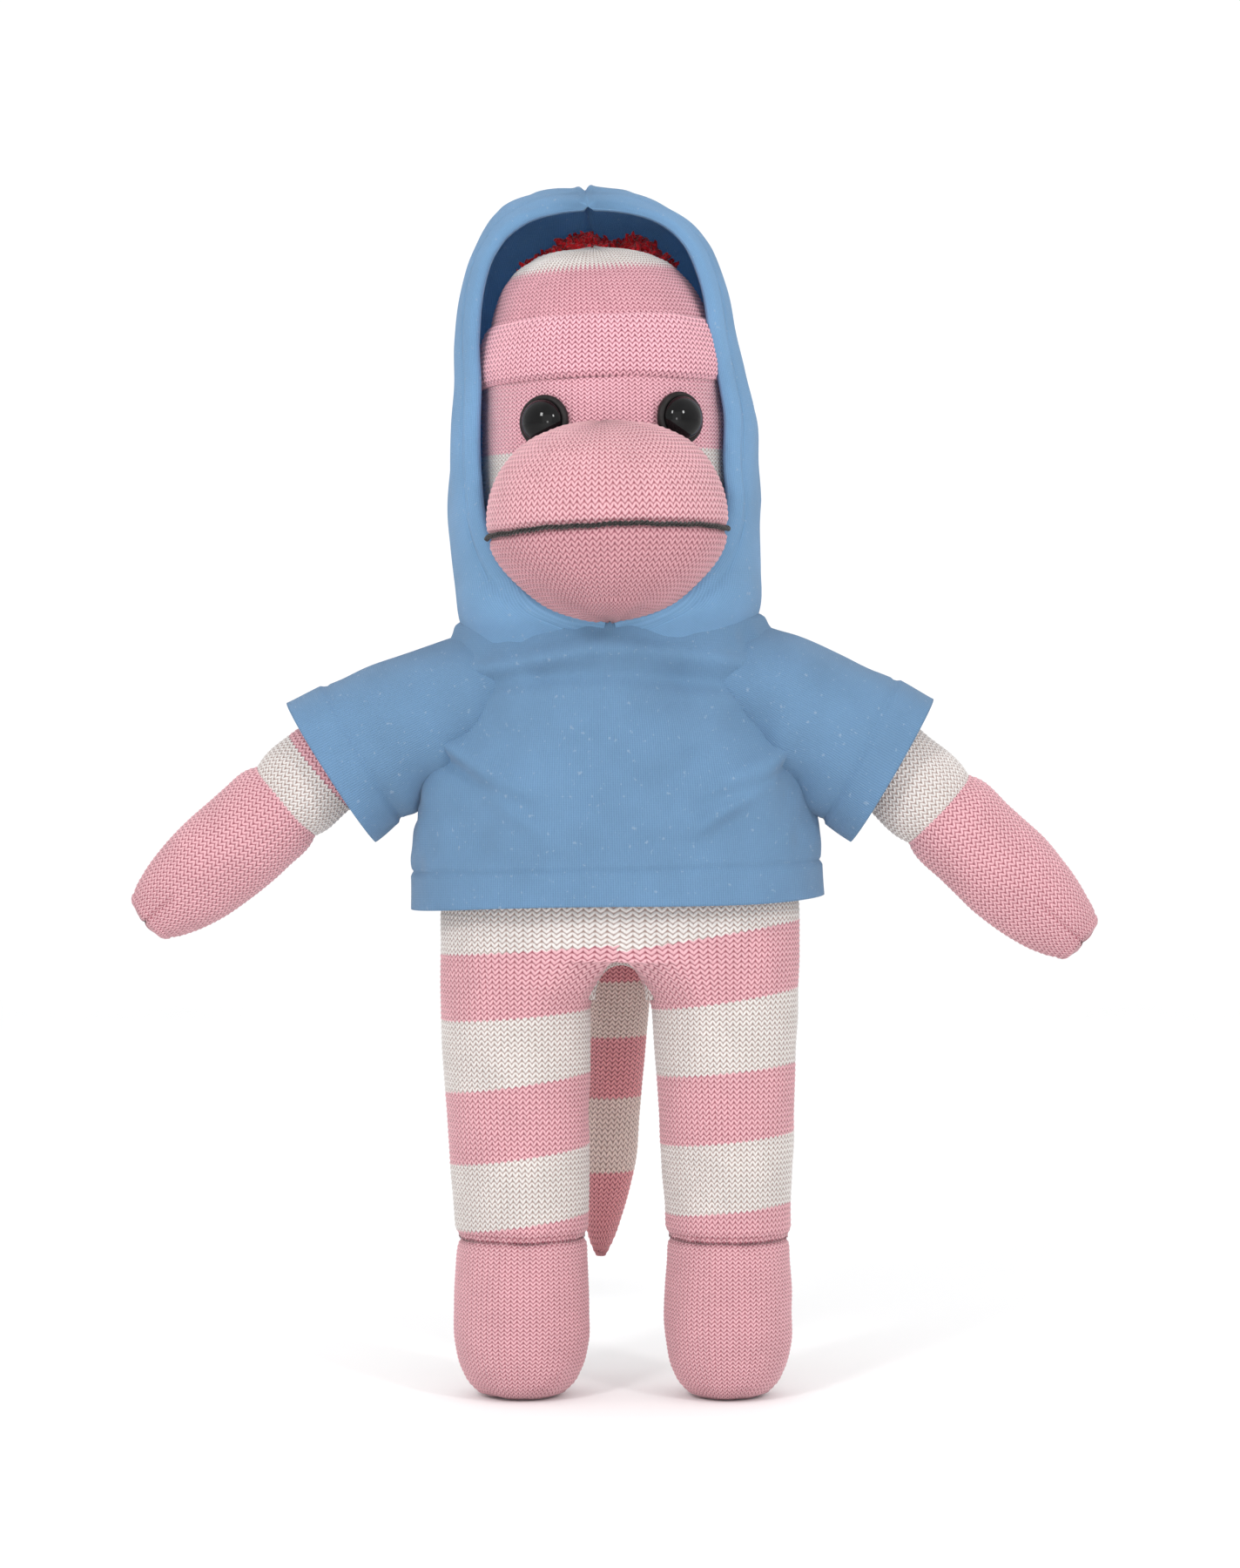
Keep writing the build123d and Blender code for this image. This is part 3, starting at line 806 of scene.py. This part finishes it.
points, uv, stripe = knit_grid(muzzle_place, 104, 66, seed=51)
dent = bump_at(points[..., 2], mouth_z(points[..., 0]), 1.3) * (points[..., 1] < MUZZLE_Y + 6)
points -= outward(points) * (1.1 * dent)[..., None]
upper = make_piece("muzzle_upper_knit", points, knit_pink, uv=uv,
                   keep=lambda p: p[..., 2] > mouth_z(p[..., 0]))
# The lower muzzle takes the darker pink: painted shade under the mouth.
lower = make_piece("muzzle_lower_knit", points, knit_pink_painted_shade, uv=uv,
                   keep=lambda p: p[..., 2] <= mouth_z(p[..., 0]))
declare(upper, "pink_knit", "head", "muzzle_skin", "muzzle_stuffing", fill=0.8)
declare(lower, "pink_knit", "head", fill=0.8)


def strand(name, path, radius, material, turns, sides=10, plies=2):
    """Twisted yarn: plies wound about a path of points."""
    path = np.array(path)
    tangent = np.gradient(path, axis=0)
    tangent /= np.linalg.norm(tangent, axis=1, keepdims=True)
    side_way = np.cross(tangent, [0, 0, 1.0])
    side_way /= np.maximum(np.linalg.norm(side_way, axis=1, keepdims=True), 1e-9)
    up = np.cross(side_way, tangent)
    share = np.linspace(0, 1, len(path))
    grids = []
    for ply in range(plies):
        turn = 2 * math.pi * (turns * share + ply / plies)
        centre = path + (side_way * np.cos(turn)[:, None] + up * np.sin(turn)[:, None]) * radius * 0.5
        ring = 2 * math.pi * np.arange(sides) / sides
        grids.append(centre[:, None] + (side_way[:, None] * np.cos(ring)[None, :, None]
                     + up[:, None] * np.sin(ring)[None, :, None]) * radius * 0.62)
    parts = [make_piece(name + "_ply%d" % i, grid, material, caps=(True, True))
             for i, grid in enumerate(grids)]
    return joined(name, parts)


def joined(name, parts):
    bpy.ops.object.select_all(action="DESELECT")
    for part in parts:
        part.select_set(True)
    bpy.context.view_layer.objects.active = parts[0]
    bpy.ops.object.join()
    parts[0].name = name
    parts[0].data.name = name
    return parts[0]


turn = np.linspace(-1.5, 1.5, 260)
mouth_x = (MUZZLE[0] - 0.1) * np.sin(turn)
mouth_path = np.stack([mouth_x, MUZZLE_Y - (MUZZLE[1] - 0.1) * np.cos(turn), mouth_z(mouth_x)], -1)
mouth_path[:, 2] += 0.12 * np.sin(turn * 9) + 0.08 * np.sin(turn * 23 + 1)
mouth = strand("mouth_stitch", mouth_path, 0.62, black_yarn, turns=34)
declare(mouth, "black_yarn", "head", "mouth_yarn")


# ---------------------------------------------------------------- eyes
def lathe(name, profile, material, centre, axis, steps=64):
    """Turned piece: profile rows of (radius, height along the axis)."""
    axis = np.array(axis) / np.linalg.norm(axis)
    side_way = np.cross(axis, [0, 0, 1.0])
    side_way /= np.linalg.norm(side_way)
    up = np.cross(side_way, axis)
    ring = 2 * math.pi * np.arange(steps) / steps
    profile = np.array(profile)
    points = (np.array(centre) + profile[:, 1][:, None, None] * axis
              + profile[:, 0][:, None, None] * (np.cos(ring)[None, :, None] * side_way
                                                + np.sin(ring)[None, :, None] * up))
    return make_piece(name, points, material, caps=(True, True))


EYE_TURN = math.radians(30)      # how far each eye looks aside
FACE_TURN = math.radians(4)      # how far the whole face looks aside
EYE_REACH = 31.4                 # from the head's middle to the back of an eye
EYE_Z = 244.6
EYE_ASIDE, EYE_AHEAD = 16.3, 26.9
DOME_RADIUS, DOME_HEIGHT, DOME_BASE = 5.42, 4.0, 1.8


def build_eye(side, name):
    turn = side * EYE_TURN + FACE_TURN
    axis = (math.sin(turn), -math.cos(turn), 0.04)
    around = math.atan2(side * EYE_ASIDE, EYE_AHEAD) + FACE_TURN
    centre = (EYE_REACH * math.sin(around), -EYE_REACH * math.cos(around), EYE_Z)
    t = np.linspace(0, 1, 14)
    flange = [(5.0, 0.0), (6.2, 0.05), (6.55, 0.5), (6.6, 1.1), (6.45, 1.6), (6.0, 1.95), (5.5, 2.05),
              (5.35, 1.9), (3.0, 1.8)]
    dome = [(DOME_RADIUS * math.cos(a), DOME_BASE + DOME_HEIGHT * math.sin(a))
            for a in t * math.pi / 2 * 0.985]
    rim = lathe("eye_rim_" + name, flange, eye_matte, centre, axis)
    ball = lathe("eye_dome_" + name, [(DOME_RADIUS, 1.2)] + dome, eye_gloss, centre, axis)
    declare(rim, "eye_plastic", "head")
    declare(ball, "eye_plastic", "head", "eye_" + name)


for side, name in ((-1, "left"), (1, "right")):
    build_eye(side, name)
    washer = frame["nodes"]["eye_washer_" + name]
    washer.data.materials.clear()
    washer.data.materials.append(washer_plastic)


# ---------------------------------------------------------------- ears and pompom
EAR_TURN = math.radians(38)      # behind straight out
EAR = (1.9, 8.6, 11.5)           # half thickness, half width, half height
EAR_Z = 241


def build_ear(side, name):
    turn = EAR_TURN
    out = np.array([side * math.cos(turn), math.sin(turn), 0])
    way = np.array([-side * math.sin(turn), math.cos(turn), 0])
    low = np.linalg.norm([26.0 * math.cos(turn), 27.0 * math.sin(turn)])

    def place(u, v):
        angle = v * math.pi
        ring = 2 * math.pi * u
        bowl = 1 - 0.55 * np.cos(angle) * (np.cos(angle) > 0)
        thick = EAR[0] * np.cos(angle) * bowl
        wide, tall = EAR[1] * np.sin(angle), EAR[2] * np.sin(angle)
        return ((low + 1.6 + thick)[..., None] * out + (wide * np.cos(ring))[..., None] * way
                + (tall * np.sin(ring) + EAR_Z)[..., None] * np.array([0, 0, 1.0]))
    points, uv, _ = knit_grid(place, 40, 26, seed=61 + side)
    ear = make_piece("ear_knit_" + name, points, knit_pink, uv=uv, caps=(True, True))
    declare(ear, "pink_knit", "head", "ear_" + name, fill=0.3)


for side, name in ((-1, "left"), (1, "right")):
    build_ear(side, name)


POMPOM = (18.6, 11.5, 6.6)       # half width, half depth, half height
POMPOM_SPOT = (-0.5, 10.0, 283.8)
LOOSE_ENDS, END_LENGTH, END_RADIUS = 900, 1.7, 0.7


def pompom_place(u, v):
    angle = (v - 0.5) * math.pi * 0.97
    ring = 2 * math.pi * u
    x = POMPOM[0] * np.cos(angle) * np.cos(ring)
    y = POMPOM[1] * np.cos(angle) * np.sin(ring)
    lobes = 2.6 * bump_at(x, -4.0, 6) + 2.6 * bump_at(x, 11.5, 5) - 1.6 * bump_at(x, 4.0, 2.6)
    z = POMPOM[2] * np.sin(angle) + lobes * (np.sin(angle) > 0) * np.sin(angle)
    return np.stack([x + POMPOM_SPOT[0], y + POMPOM_SPOT[1], z + POMPOM_SPOT[2]], -1)


cols, rows = 150, 70
u = np.arange(cols)[None, :] / cols + np.zeros((rows, 1))
v = np.arange(rows)[:, None] / (rows - 1) + np.zeros((1, cols))
points = pompom_place(u, v)
tufts = noise_field((rows, cols), (16, 36), 3) + 0.6 * noise_field((rows, cols), (30, 70), 4)
normal = outward(points)
points += normal * (0.7 * tufts)[..., None]
core = make_piece("pompom_core", points, red_yarn, caps=(True, True))


def loose_ends(points, normal, count, length, radius):
    """Short curved ends of yarn standing out of a surface, as one mesh."""
    verts, faces, sides, steps = [], [], 6, 5
    for _ in range(count):
        r, c = random.integers(2, points.shape[0] - 2), random.integers(points.shape[1])
        way = normal[r, c] + random.normal(size=3) * 0.45
        way /= np.linalg.norm(way)
        bend = random.normal(size=3)
        bend -= way * (bend @ way)
        bend /= np.linalg.norm(bend)
        other = np.cross(way, bend)
        long, base = length * random.uniform(0.6, 1.25), len(verts)
        for i in range(steps):
            t = i / (steps - 1)
            middle = points[r, c] + way * long * t + bend * long * 0.45 * t * t
            wide = radius * (1 - 0.35 * t * t)
            for k in range(sides):
                a = 2 * math.pi * k / sides
                verts.append(middle + wide * (bend * math.cos(a) + other * math.sin(a)))
        for i in range(steps - 1):
            for k in range(sides):
                a, b = base + i * sides + k, base + i * sides + (k + 1) % sides
                faces.append((a, b, b + sides, a + sides))
        faces.append(tuple(base + (steps - 1) * sides + k for k in range(sides)))
    mesh = bpy.data.meshes.new("loose_ends")
    mesh.from_pydata(placed(np.array(verts)).tolist(), [], faces)
    mesh.polygons.foreach_set("use_smooth", np.ones(len(faces), bool))
    mesh.materials.append(red_yarn)
    mesh.uv_layers.new(name="stitch")
    piece = bpy.data.objects.new("loose_ends", mesh)
    bpy.context.scene.collection.objects.link(piece)
    recalculate(piece)
    return piece


pompom = joined("pompom_yarn", [core, loose_ends(points, normal, LOOSE_ENDS, END_LENGTH, END_RADIUS)])
declare(pompom, "red_yarn", "head", "pompom", fill=0.5)


# ---------------------------------------------------------------- shirt
CLOTH = 1.0                      # thickness of the jersey


def cloth_piece(name, points, thickness):
    """A jersey sheet with its thickness inwards."""
    piece = make_piece(name, points, jersey, uv=length_uv(points))
    thicken = piece.modifiers.new("thickness", "SOLIDIFY")
    thicken.thickness = thickness / 1000
    thicken.offset = -1
    thicken.use_even_offset = False
    bpy.context.view_layer.objects.active = piece
    bpy.ops.object.modifier_apply(modifier="thickness")
    return piece


def length_uv(points):
    """UV in millimetres round the columns and up the rows."""
    closed = np.concatenate([points, points[:, :1]], 1)
    around = np.linalg.norm(np.diff(closed, axis=1), axis=2).mean(axis=0)
    up = np.linalg.norm(np.diff(points, axis=0), axis=2).mean(axis=1)
    u = np.concatenate([[0], np.cumsum(around)])
    v = np.concatenate([[0], np.cumsum(up)])
    return u[None, :] + np.zeros((len(v), 1)), v[:, None] + np.zeros((1, len(u)))


SHIRT_KEYS = [(HEM_Z, 51.6, 29.3), (133, 51.2, 29.3), (145, 50.6, 29.0), (157, 50.0, 28.6), (166, 48.0, 28.3),
              (176, 44.6, 28.0), (186, 41.4, 28.0), (NECK_Z - 1, 38.9, 28.2), (NECK_Z + 0.8, 37.8, 27.9),
              (NECK_Z + 1.6, 36.4, 27.0)]


def shirt_points():
    rows, cols = 110, 360
    v = np.linspace(0, 1, rows)[:, None]
    u = np.arange(cols)[None, :] / cols
    z = HEM_Z + v * (NECK_Z + 1.4 - HEM_Z) + 0 * u
    half_x, half_y = along(SHIRT_KEYS, z[:, 0]).T[:, :, None]
    angle = 2 * math.pi * u + math.pi / 2
    x = half_x * np.cos(angle)
    y = half_y * np.sin(angle) - 0.6
    points = np.stack([x + 0 * z, y + 0 * z, z], -1)
    normal = outward(points)
    front = smoothstep(4, -14, points[..., 1])
    back = 1 - front
    fold = np.zeros(z.shape)
    x = points[..., 0]
    # soft folds running up to each armpit, a fold across under the neck
    for side, lift, reach in ((1, 1.0, 30), (-1, 0.7, 24)):
        t = (x * side - 12) / reach
        line = 140 + 20 * np.clip(t, 0, 1.4) ** 1.2
        fold += 1.1 * lift * bump_at(z, line, 3.4) * smoothstep(0, 0.5, t) * front
        line = 150 + 13 * np.clip(t, 0, 1.4) ** 1.3
        fold += 0.9 * lift * bump_at(z, line, 2.8) * smoothstep(0.15, 0.6, t) * front
        fold -= 0.8 * lift * bump_at(z, line - 5.0, 2.2) * smoothstep(0.2, 0.7, t) * front
    fold += 0.8 * bump_at(z, 186 + 2.5 * np.cos(x / 14), 2.6) * front
    fold -= 0.7 * bump_at(z, 180.5 + 2.0 * np.cos(x / 16 + 0.5), 2.6) * front
    fold += 0.8 * bump_at(z, 172 + 0.14 * x, 3.5) * back - 0.7 * bump_at(z, 163 - 0.1 * x, 3.2) * back
    fold += 0.55 * noise_field(z.shape, (5, 16), 71) + 0.16 * noise_field(z.shape, (14, 44), 72)
    calm = smoothstep(HEM_Z + 6, HEM_Z + 16, z) * (1 - smoothstep(NECK_Z - 5, NECK_Z, z))
    fold = 2.2 * fold * (0.2 + 0.8 * calm)
    # the turned-up hem and its line of stitches
    hem = 0.45 * (1 - smoothstep(HEM_Z + 8.2, HEM_Z + 9.2, z)) - 0.45 * bump_at(z, HEM_Z + 9.0, 0.55)
    hem += 0.5 * bump_at(z, NECK_Z - 0.4, 1.2)
    wave = 0.8 * np.sin(2 * angle + 0.8) + 0.5 * np.sin(5 * angle)
    points += normal * (fold + hem + wave * (1 - smoothstep(HEM_Z, HEM_Z + 22, z)) * 0.7)[..., None]
    points[..., 2] += 0.9 * np.sin(angle * 3 + 1.0) * (1 - smoothstep(HEM_Z, HEM_Z + 12, z)) * 0.5
    points[..., 2] += 1.0 * smoothstep(-10, 26, points[..., 1]) * smoothstep(NECK_Z - 8, NECK_Z, z)
    return points


shirt = cloth_piece("shirt_body", shirt_points(), CLOTH)
declare(shirt, "jersey", "torso", "shirt_front", "shirt_back")


# share of the length, middle x, middle z, half height, half depth, degrees off upright
SLEEVE_KEYS = {
    -1: [(0, 26, 181.8, 15.5, 19.0, 8), (0.25, 35.8, 177.2, 16.2, 20.6, 14),
         (0.5, 47.0, 171.6, 17.2, 19.6, 19), (0.75, 58.6, 166.4, 18.6, 17.8, 25),
         (0.9, 66.6, 162.6, 19.3, 16.9, 29.5), (1.0, 71.8, 160.0, 19.7, 16.6, 31)],
    1: [(0, 26, 181.6, 15.5, 19.0, 8), (0.25, 35.5, 177.0, 16.6, 20.6, 15),
        (0.5, 46, 170.8, 17.9, 19.6, 21), (0.75, 57.6, 164.4, 19.4, 17.8, 26.5),
        (0.9, 65.4, 159.6, 20.2, 16.9, 30), (1.0, 70.4, 156.6, 20.4, 16.6, 31.5)],
}


def sleeve_points(side):
    """From inside the shirt out to the turned cuff."""
    rows, cols = 84, 150
    v = np.linspace(0, 1, rows)[:, None]
    ring = 2 * math.pi * np.arange(cols)[None, :] / cols + 0 * v
    x0, z0, half_up, half_y, tilt = along(SLEEVE_KEYS[side], v[:, 0]).T[:, :, None]
    up, y = half_up * np.cos(ring), half_y * np.sin(ring)
    tilt = np.radians(tilt)
    points = np.stack([side * (x0 + up * np.sin(tilt)), y, z0 + up * np.cos(tilt)], -1)
    normal = outward(points)
    low = smoothstep(0.2, -0.9, np.cos(ring))
    calm = smoothstep(0.2, 0.4, v) * (1 - smoothstep(0.72, 0.86, v))
    fold = 0.45 * noise_field(ring.shape, (5, 8), 81 + side)
    fold += 1.0 * np.sin(v * 19 + 1.2 * np.sin(ring)) * low * calm
    fold += 0.5 * np.sin(v * 12 + 2.0 * np.cos(ring + 0.7) + side) * calm
    hem = 0.5 * smoothstep(0.835, 0.85, v) - 0.5 * bump_at(v, 0.838, 0.008)
    return points + normal * (fold + hem)[..., None]


for side, name in ((-1, "left"), (1, "right")):
    sleeve = cloth_piece("sleeve_jersey_" + name, sleeve_points(side), CLOTH)
    declare(sleeve, "jersey", None, "sleeve_" + name)
    start, line, _ = arm_axes(side)
    first = placed(start + line * -8)
    last = placed(start + line * 22)
    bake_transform(sleeve)


# ---------------------------------------------------------------- hood
HOOD_CENTRE = np.array([0.0, 3.0, 250.0])
HOOD_SQUARE = 2.6               # how boxy the level sections are
SPLIT_Z = 206.5                 # the cloth is cut here: the collar below, the hood above
# height, half width, depth in front of the hood's middle, depth behind it
HOOD_KEYS = [(186, 35.0, 28.5, 26.4), (192, 36.4, 30.5, 27.2), (197, 38.0, 34.0, 28.6),
             (207, 38.8, 31.5, 31.4), (220, 39.3, 27.8, 33.8), (233, 39.3, 26.5, 35.2),
             (252, 38.2, 25.8, 35.2), (268, 35.4, 24.6, 33.8), (280, 31.6, 23.0, 31.6),
             (290, 26.6, 21.0, 28.0), (298, 19.8, 17.6, 21.6), (302.4, 13.2, 13.0, 14.6),
             (304.4, 6.0, 6.4, 7.0), (304.9, 0.6, 0.6, 0.6)]
# edge of the face opening: length from the chin, height, half width
RIM_KEYS = [(0, 197.0, 0), (9, 198.6, 9), (22, 205.6, 20.4), (31, 212, 26.8), (40, 220, 30.2),
            (52, 232, 31.6), (70, 250, 31.4), (82, 262, 30.4), (91, 270.5, 28.4),
            (102, 281, 25), (113, 289.8, 20.2), (122, 295.6, 13.6), (129, 297.8, 7), (136, 298.4, 0)]


def hood_depths(z):
    return along(HOOD_KEYS, np.ravel(z)).T.reshape((3,) + np.shape(z))


def on_dome(way):
    """Points of the hood's surface seen from its centre along unit directions."""
    low, high = np.full(way.shape[:-1], 4.0), np.full(way.shape[:-1], 95.0)
    for _ in range(26):
        middle = (low + high) / 2
        point = middle[..., None] * way
        wide, front, rear = hood_depths(point[..., 2] + HOOD_CENTRE[2])
        deep = np.where(point[..., 1] < 0, front, rear)
        size = (np.abs(point[..., 0]) / wide) ** HOOD_SQUARE + (np.abs(point[..., 1]) / deep) ** HOOD_SQUARE
        inside = (size < 1) & (point[..., 2] < 54.9)
        low, high = np.where(inside, middle, low), np.where(inside, high, middle)
    return HOOD_CENTRE + low[..., None] * way


def toward(points):
    way = points - HOOD_CENTRE
    return way / np.linalg.norm(way, axis=-1, keepdims=True)


def rim_points(far):
    z, x = along(RIM_KEYS, far).T
    wide, front, _ = hood_depths(z)
    y = -front * (1 - np.clip(x / wide, 0, 1) ** HOOD_SQUARE) ** (1 / HOOD_SQUARE)
    return np.stack([x, y + HOOD_CENTRE[1], z], -1)


def seam_point(z):
    return np.stack([0 * z, HOOD_CENTRE[1] + hood_depths(z)[2], z], -1)


def patch(rim, seam, first, last, share):
    """Surface between four edges: the rim and the seam run up, first and last run back."""
    s, t = share[None, :, None], np.linspace(0, 1, len(rim))[:, None, None]
    ruled = (1 - s) * rim[:, None] + s * seam[:, None] + (1 - t) * first[None] + t * last[None]
    corners = ((1 - s) * (1 - t) * first[0] + s * (1 - t) * first[-1]
               + (1 - s) * t * last[0] + s * t * last[-1])
    return ruled - corners


def hood_half(share):
    """One side of the hood, from the rim (share 0) to the seam over its middle (share 1)."""
    split_far = np.interp(SPLIT_Z, [k[1] for k in RIM_KEYS], [k[0] for k in RIM_KEYS])
    rows = (26, 104)
    turn = share * math.pi
    neck_z = 190 + (RIM_KEYS[0][1] - 190) * np.exp(-(share / 0.02) ** 2)
    level = np.stack([np.sin(turn), -np.cos(turn), 0 * turn], -1)
    neck = np.array([on_level(way, z) for way, z in zip(level, neck_z)])
    rim = rim_points(np.linspace(0, split_far, rows[0]))
    seam = seam_point(np.linspace(neck_z[-1], SPLIT_Z, rows[0]))
    first = math.atan2(rim[-1][0], -(rim[-1][1] - HOOD_CENTRE[1]))
    turn = first + (math.pi - first) * share
    level = np.stack([np.sin(turn), -np.cos(turn), 0 * turn], -1)
    split = np.array([on_level(way, SPLIT_Z) for way in level])
    collar = patch(rim, seam, neck, split, share)
    rim = rim_points(np.linspace(split_far, RIM_KEYS[-1][0], rows[1]))
    start = seam[-1] - HOOD_CENTRE
    angle = np.linspace(math.atan2(start[2], start[1]),
                        math.atan2(rim[-1][2] - HOOD_CENTRE[2], rim[-1][1] - HOOD_CENTRE[1]), rows[1])
    seam = on_dome(np.stack([0 * angle, np.cos(angle), np.sin(angle)], -1))
    top = np.repeat(rim[-1:], len(share), axis=0)
    dome = patch(rim, seam, split, top, share)
    points = np.concatenate([collar, dome[1:]], 0)
    points[:, 1:] = on_dome(toward(points[:, 1:]))
    points[-1] = rim[-1]
    return points, rows[0]


def on_level(way, z):
    """Point of the hood's level section at height z along a level direction."""
    wide, front, rear = hood_depths(np.array([z]))[:, 0]
    deep = front if way[1] < 0 else rear
    size = (abs(way[0]) / wide) ** HOOD_SQUARE + (abs(way[1]) / deep) ** HOOD_SQUARE
    return np.array([0, HOOD_CENTRE[1], z]) + way * size ** (-1 / HOOD_SQUARE)


# height, shift of the whole hood, then how much further each side stands out
SLUMP_KEYS = [(225, 0, 0, -0.5), (235, 0, 0, -1.5), (246, 0, 0, -0.9), (257, 0, 0.2, -1.8),
              (266, 0, 1.8, -1.9), (276, 0, 3.6, -0.4), (285, 0.3, 4.6, 0.9), (290, 1.0, 4.3, 2.0),
              (295, 1.9, 3.8, 2.4), (300, 2.8, 3.4, 1.2), (304, 3.3, 2.0, 0.0)]


def slump(points):
    """The soft hood leans to one side, and one corner of it stands out."""
    x, z = points[..., 0], points[..., 2]
    whole, left, right = along(SLUMP_KEYS, np.ravel(z)).T.reshape((3,) + z.shape)
    moved = points.copy()
    moved[..., 0] += right * np.clip(x / 18, 0, 1) - left * np.clip(-x / 18, 0, 1) - whole
    return moved


def hood_points():
    share = np.linspace(0, 1, 66) ** 1.25
    right, split_row = hood_half(share)
    left = right[:, :0:-1].copy()
    left[..., 0] *= -1
    points = np.concatenate([right, left], 1)
    rim = right[:, 0]
    rim = np.concatenate([rim, rim * np.array([-1, 1, 1])], 0)
    flat = points.reshape(-1, 3)
    far = np.min(np.linalg.norm(flat[:, None] - rim[None], axis=2), axis=1).reshape(points.shape[:2])
    normal = grid_normals(points, False)
    normal = np.where(((points - HOOD_CENTRE) * normal).sum(-1, keepdims=True) < 0, -normal, normal)
    z, x, y = points[..., 2], points[..., 0], points[..., 1]
    calm = smoothstep(6, 13, far) * smoothstep(192, 200, z)
    band = 0.55 * (1 - smoothstep(4.8, 5.5, far)) - 0.5 * bump_at(far, 5.4, 0.5)
    seam = (0.35 * bump_at(np.abs(x), 1.5, 0.8) - 0.8 * bump_at(x, 0, 0.7)) * (y > -12)
    seam *= 0.35 + 0.65 * smoothstep(1, 9, far)
    fold = 0.5 * noise_field(points.shape[:2], (7, 9), 91)
    fold += 0.9 * bump_at(y, 9 + 0.1 * (z - 240), 4) * smoothstep(212, 232, z) * (1 - smoothstep(270, 288, z))
    second = smoothstep(204, 224, z) * (1 - smoothstep(262, 282, z))
    fold -= 0.8 * bump_at(y, 19 + 0.06 * (z - 240), 4) * second
    chin = 0.7 * bump_at(z, 203, 3) * smoothstep(-6, -16, y) * smoothstep(3, 8, far)
    points = points + normal * (band + seam + fold * calm + chin)[..., None]
    points -= normal * (1.2 * np.clip(1 - far / 2.0, 0, 1) ** 2)[..., None]
    turned = smoothstep(0, 1.0, far) * (1 - smoothstep(4.9, 5.4, far))       # double in the hem
    inner = points - normal * (1.1 + 0.9 * turned)[..., None]
    return slump(np.concatenate([points, inner[:, ::-1]], 1)), split_row


points, split_row = hood_points()
uv = length_uv(points)
# Hood and collar wear the lighter copy of the jersey: painted light.
hood = make_piece("hood_panels", points[split_row - 1:], hood_jersey_painted_light,
                  uv=(uv[0][split_row - 1:], uv[1][split_row - 1:]), ends=(True, False))
collar = make_piece("hood_collar", points[:split_row], hood_jersey_painted_light,
                    uv=(uv[0][:split_row], uv[1][:split_row]), ends=(True, True))
declare(hood, "jersey", None, "hood_left", "hood_right", "hood_nape")
declare(collar, "jersey", None)
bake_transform(hood)
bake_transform(collar)


# ---------------------------------------------------------------- stage, light and camera
def build_stage():
    """A floor that curves up behind the toy."""
    bend = np.linspace(0, math.pi / 2, 24)
    back = [(-9.0, 0.0), (0.0, 0.0)] + [(1.2 + 0.8 * math.sin(a), 0.8 - 0.8 * math.cos(a)) for a in bend]
    back += [(2.0, 3.5)]
    verts = [(x, y, z) for y, z in back for x in (-7.0, 7.0)]
    faces = [(2 * i, 2 * i + 1, 2 * i + 3, 2 * i + 2) for i in range(len(back) - 1)]
    mesh = bpy.data.meshes.new("floor")
    mesh.from_pydata(verts, [], faces)
    mesh.polygons.foreach_set("use_smooth", np.ones(len(faces), bool))
    floor = bpy.data.objects.new("floor", mesh)
    bpy.context.scene.collection.objects.link(floor)
    s = Shader("floor_paper", 0.95)
    mesh.materials.append(s.finish(s.mix(s.noise(6.0, 2.0), (0.93, 0.93, 0.93), (0.95, 0.95, 0.95)),
                                   s.noise(40.0, 2.0), 0.0001, 0.1))


def area_light(name, place, target, size, power):
    data = bpy.data.lights.new(name, "AREA")
    data.shape = "RECTANGLE"
    data.size, data.size_y = size
    data.energy = power
    lamp = bpy.data.objects.new(name, data)
    lamp.location = place
    lamp.rotation_euler = look_at(place, target)
    bpy.context.scene.collection.objects.link(lamp)


def look_at(place, target):
    return (Vector(target) - Vector(place)).to_track_quat("-Z", "Y").to_euler()


build_stage()
world = bpy.data.worlds.new("studio")
bpy.context.scene.world = world
world.use_nodes = True
world.node_tree.nodes["Background"].inputs["Color"].default_value = (1, 1, 1, 1)
world.node_tree.nodes["Background"].inputs["Strength"].default_value = 1.0
centre = (SHIFT[0] / 1000, 0.0, 0.155)
area_light("key", (-0.62, -1.15, 0.95), centre, (0.24, 0.32), 6.5)
area_light("fill", (0.75, -1.05, 0.85), centre, (0.18, 0.24), 4.5)
area_light("front", (0.0, -1.5, 0.35), centre, (1.3, 1.3), 2.4)
area_light("near_axis", (0.02, -1.35, 0.2), centre, (0.2, 0.2), 1.1)

PHOTO_HEIGHT = 0.3913           # metres that the picture's height covers at the toy
SENSOR = 36.0
LENS = 100.0
distance = PHOTO_HEIGHT * LENS / SENSOR
camera = bpy.data.objects.new("camera", bpy.data.cameras.new("camera"))
camera.data.sensor_fit = "VERTICAL"
camera.data.sensor_height = SENSOR
camera.data.lens = LENS
target = (SHIFT[0] / 1000, SHIFT[1] / 1000 - 0.012, 0.1548)
camera.location = (target[0], target[1] - distance, target[2] + 0.03)
camera.rotation_euler = look_at(camera.location, target)
bpy.context.scene.collection.objects.link(camera)
bpy.context.scene.camera = camera
bpy.context.scene.view_settings.view_transform = "Standard"
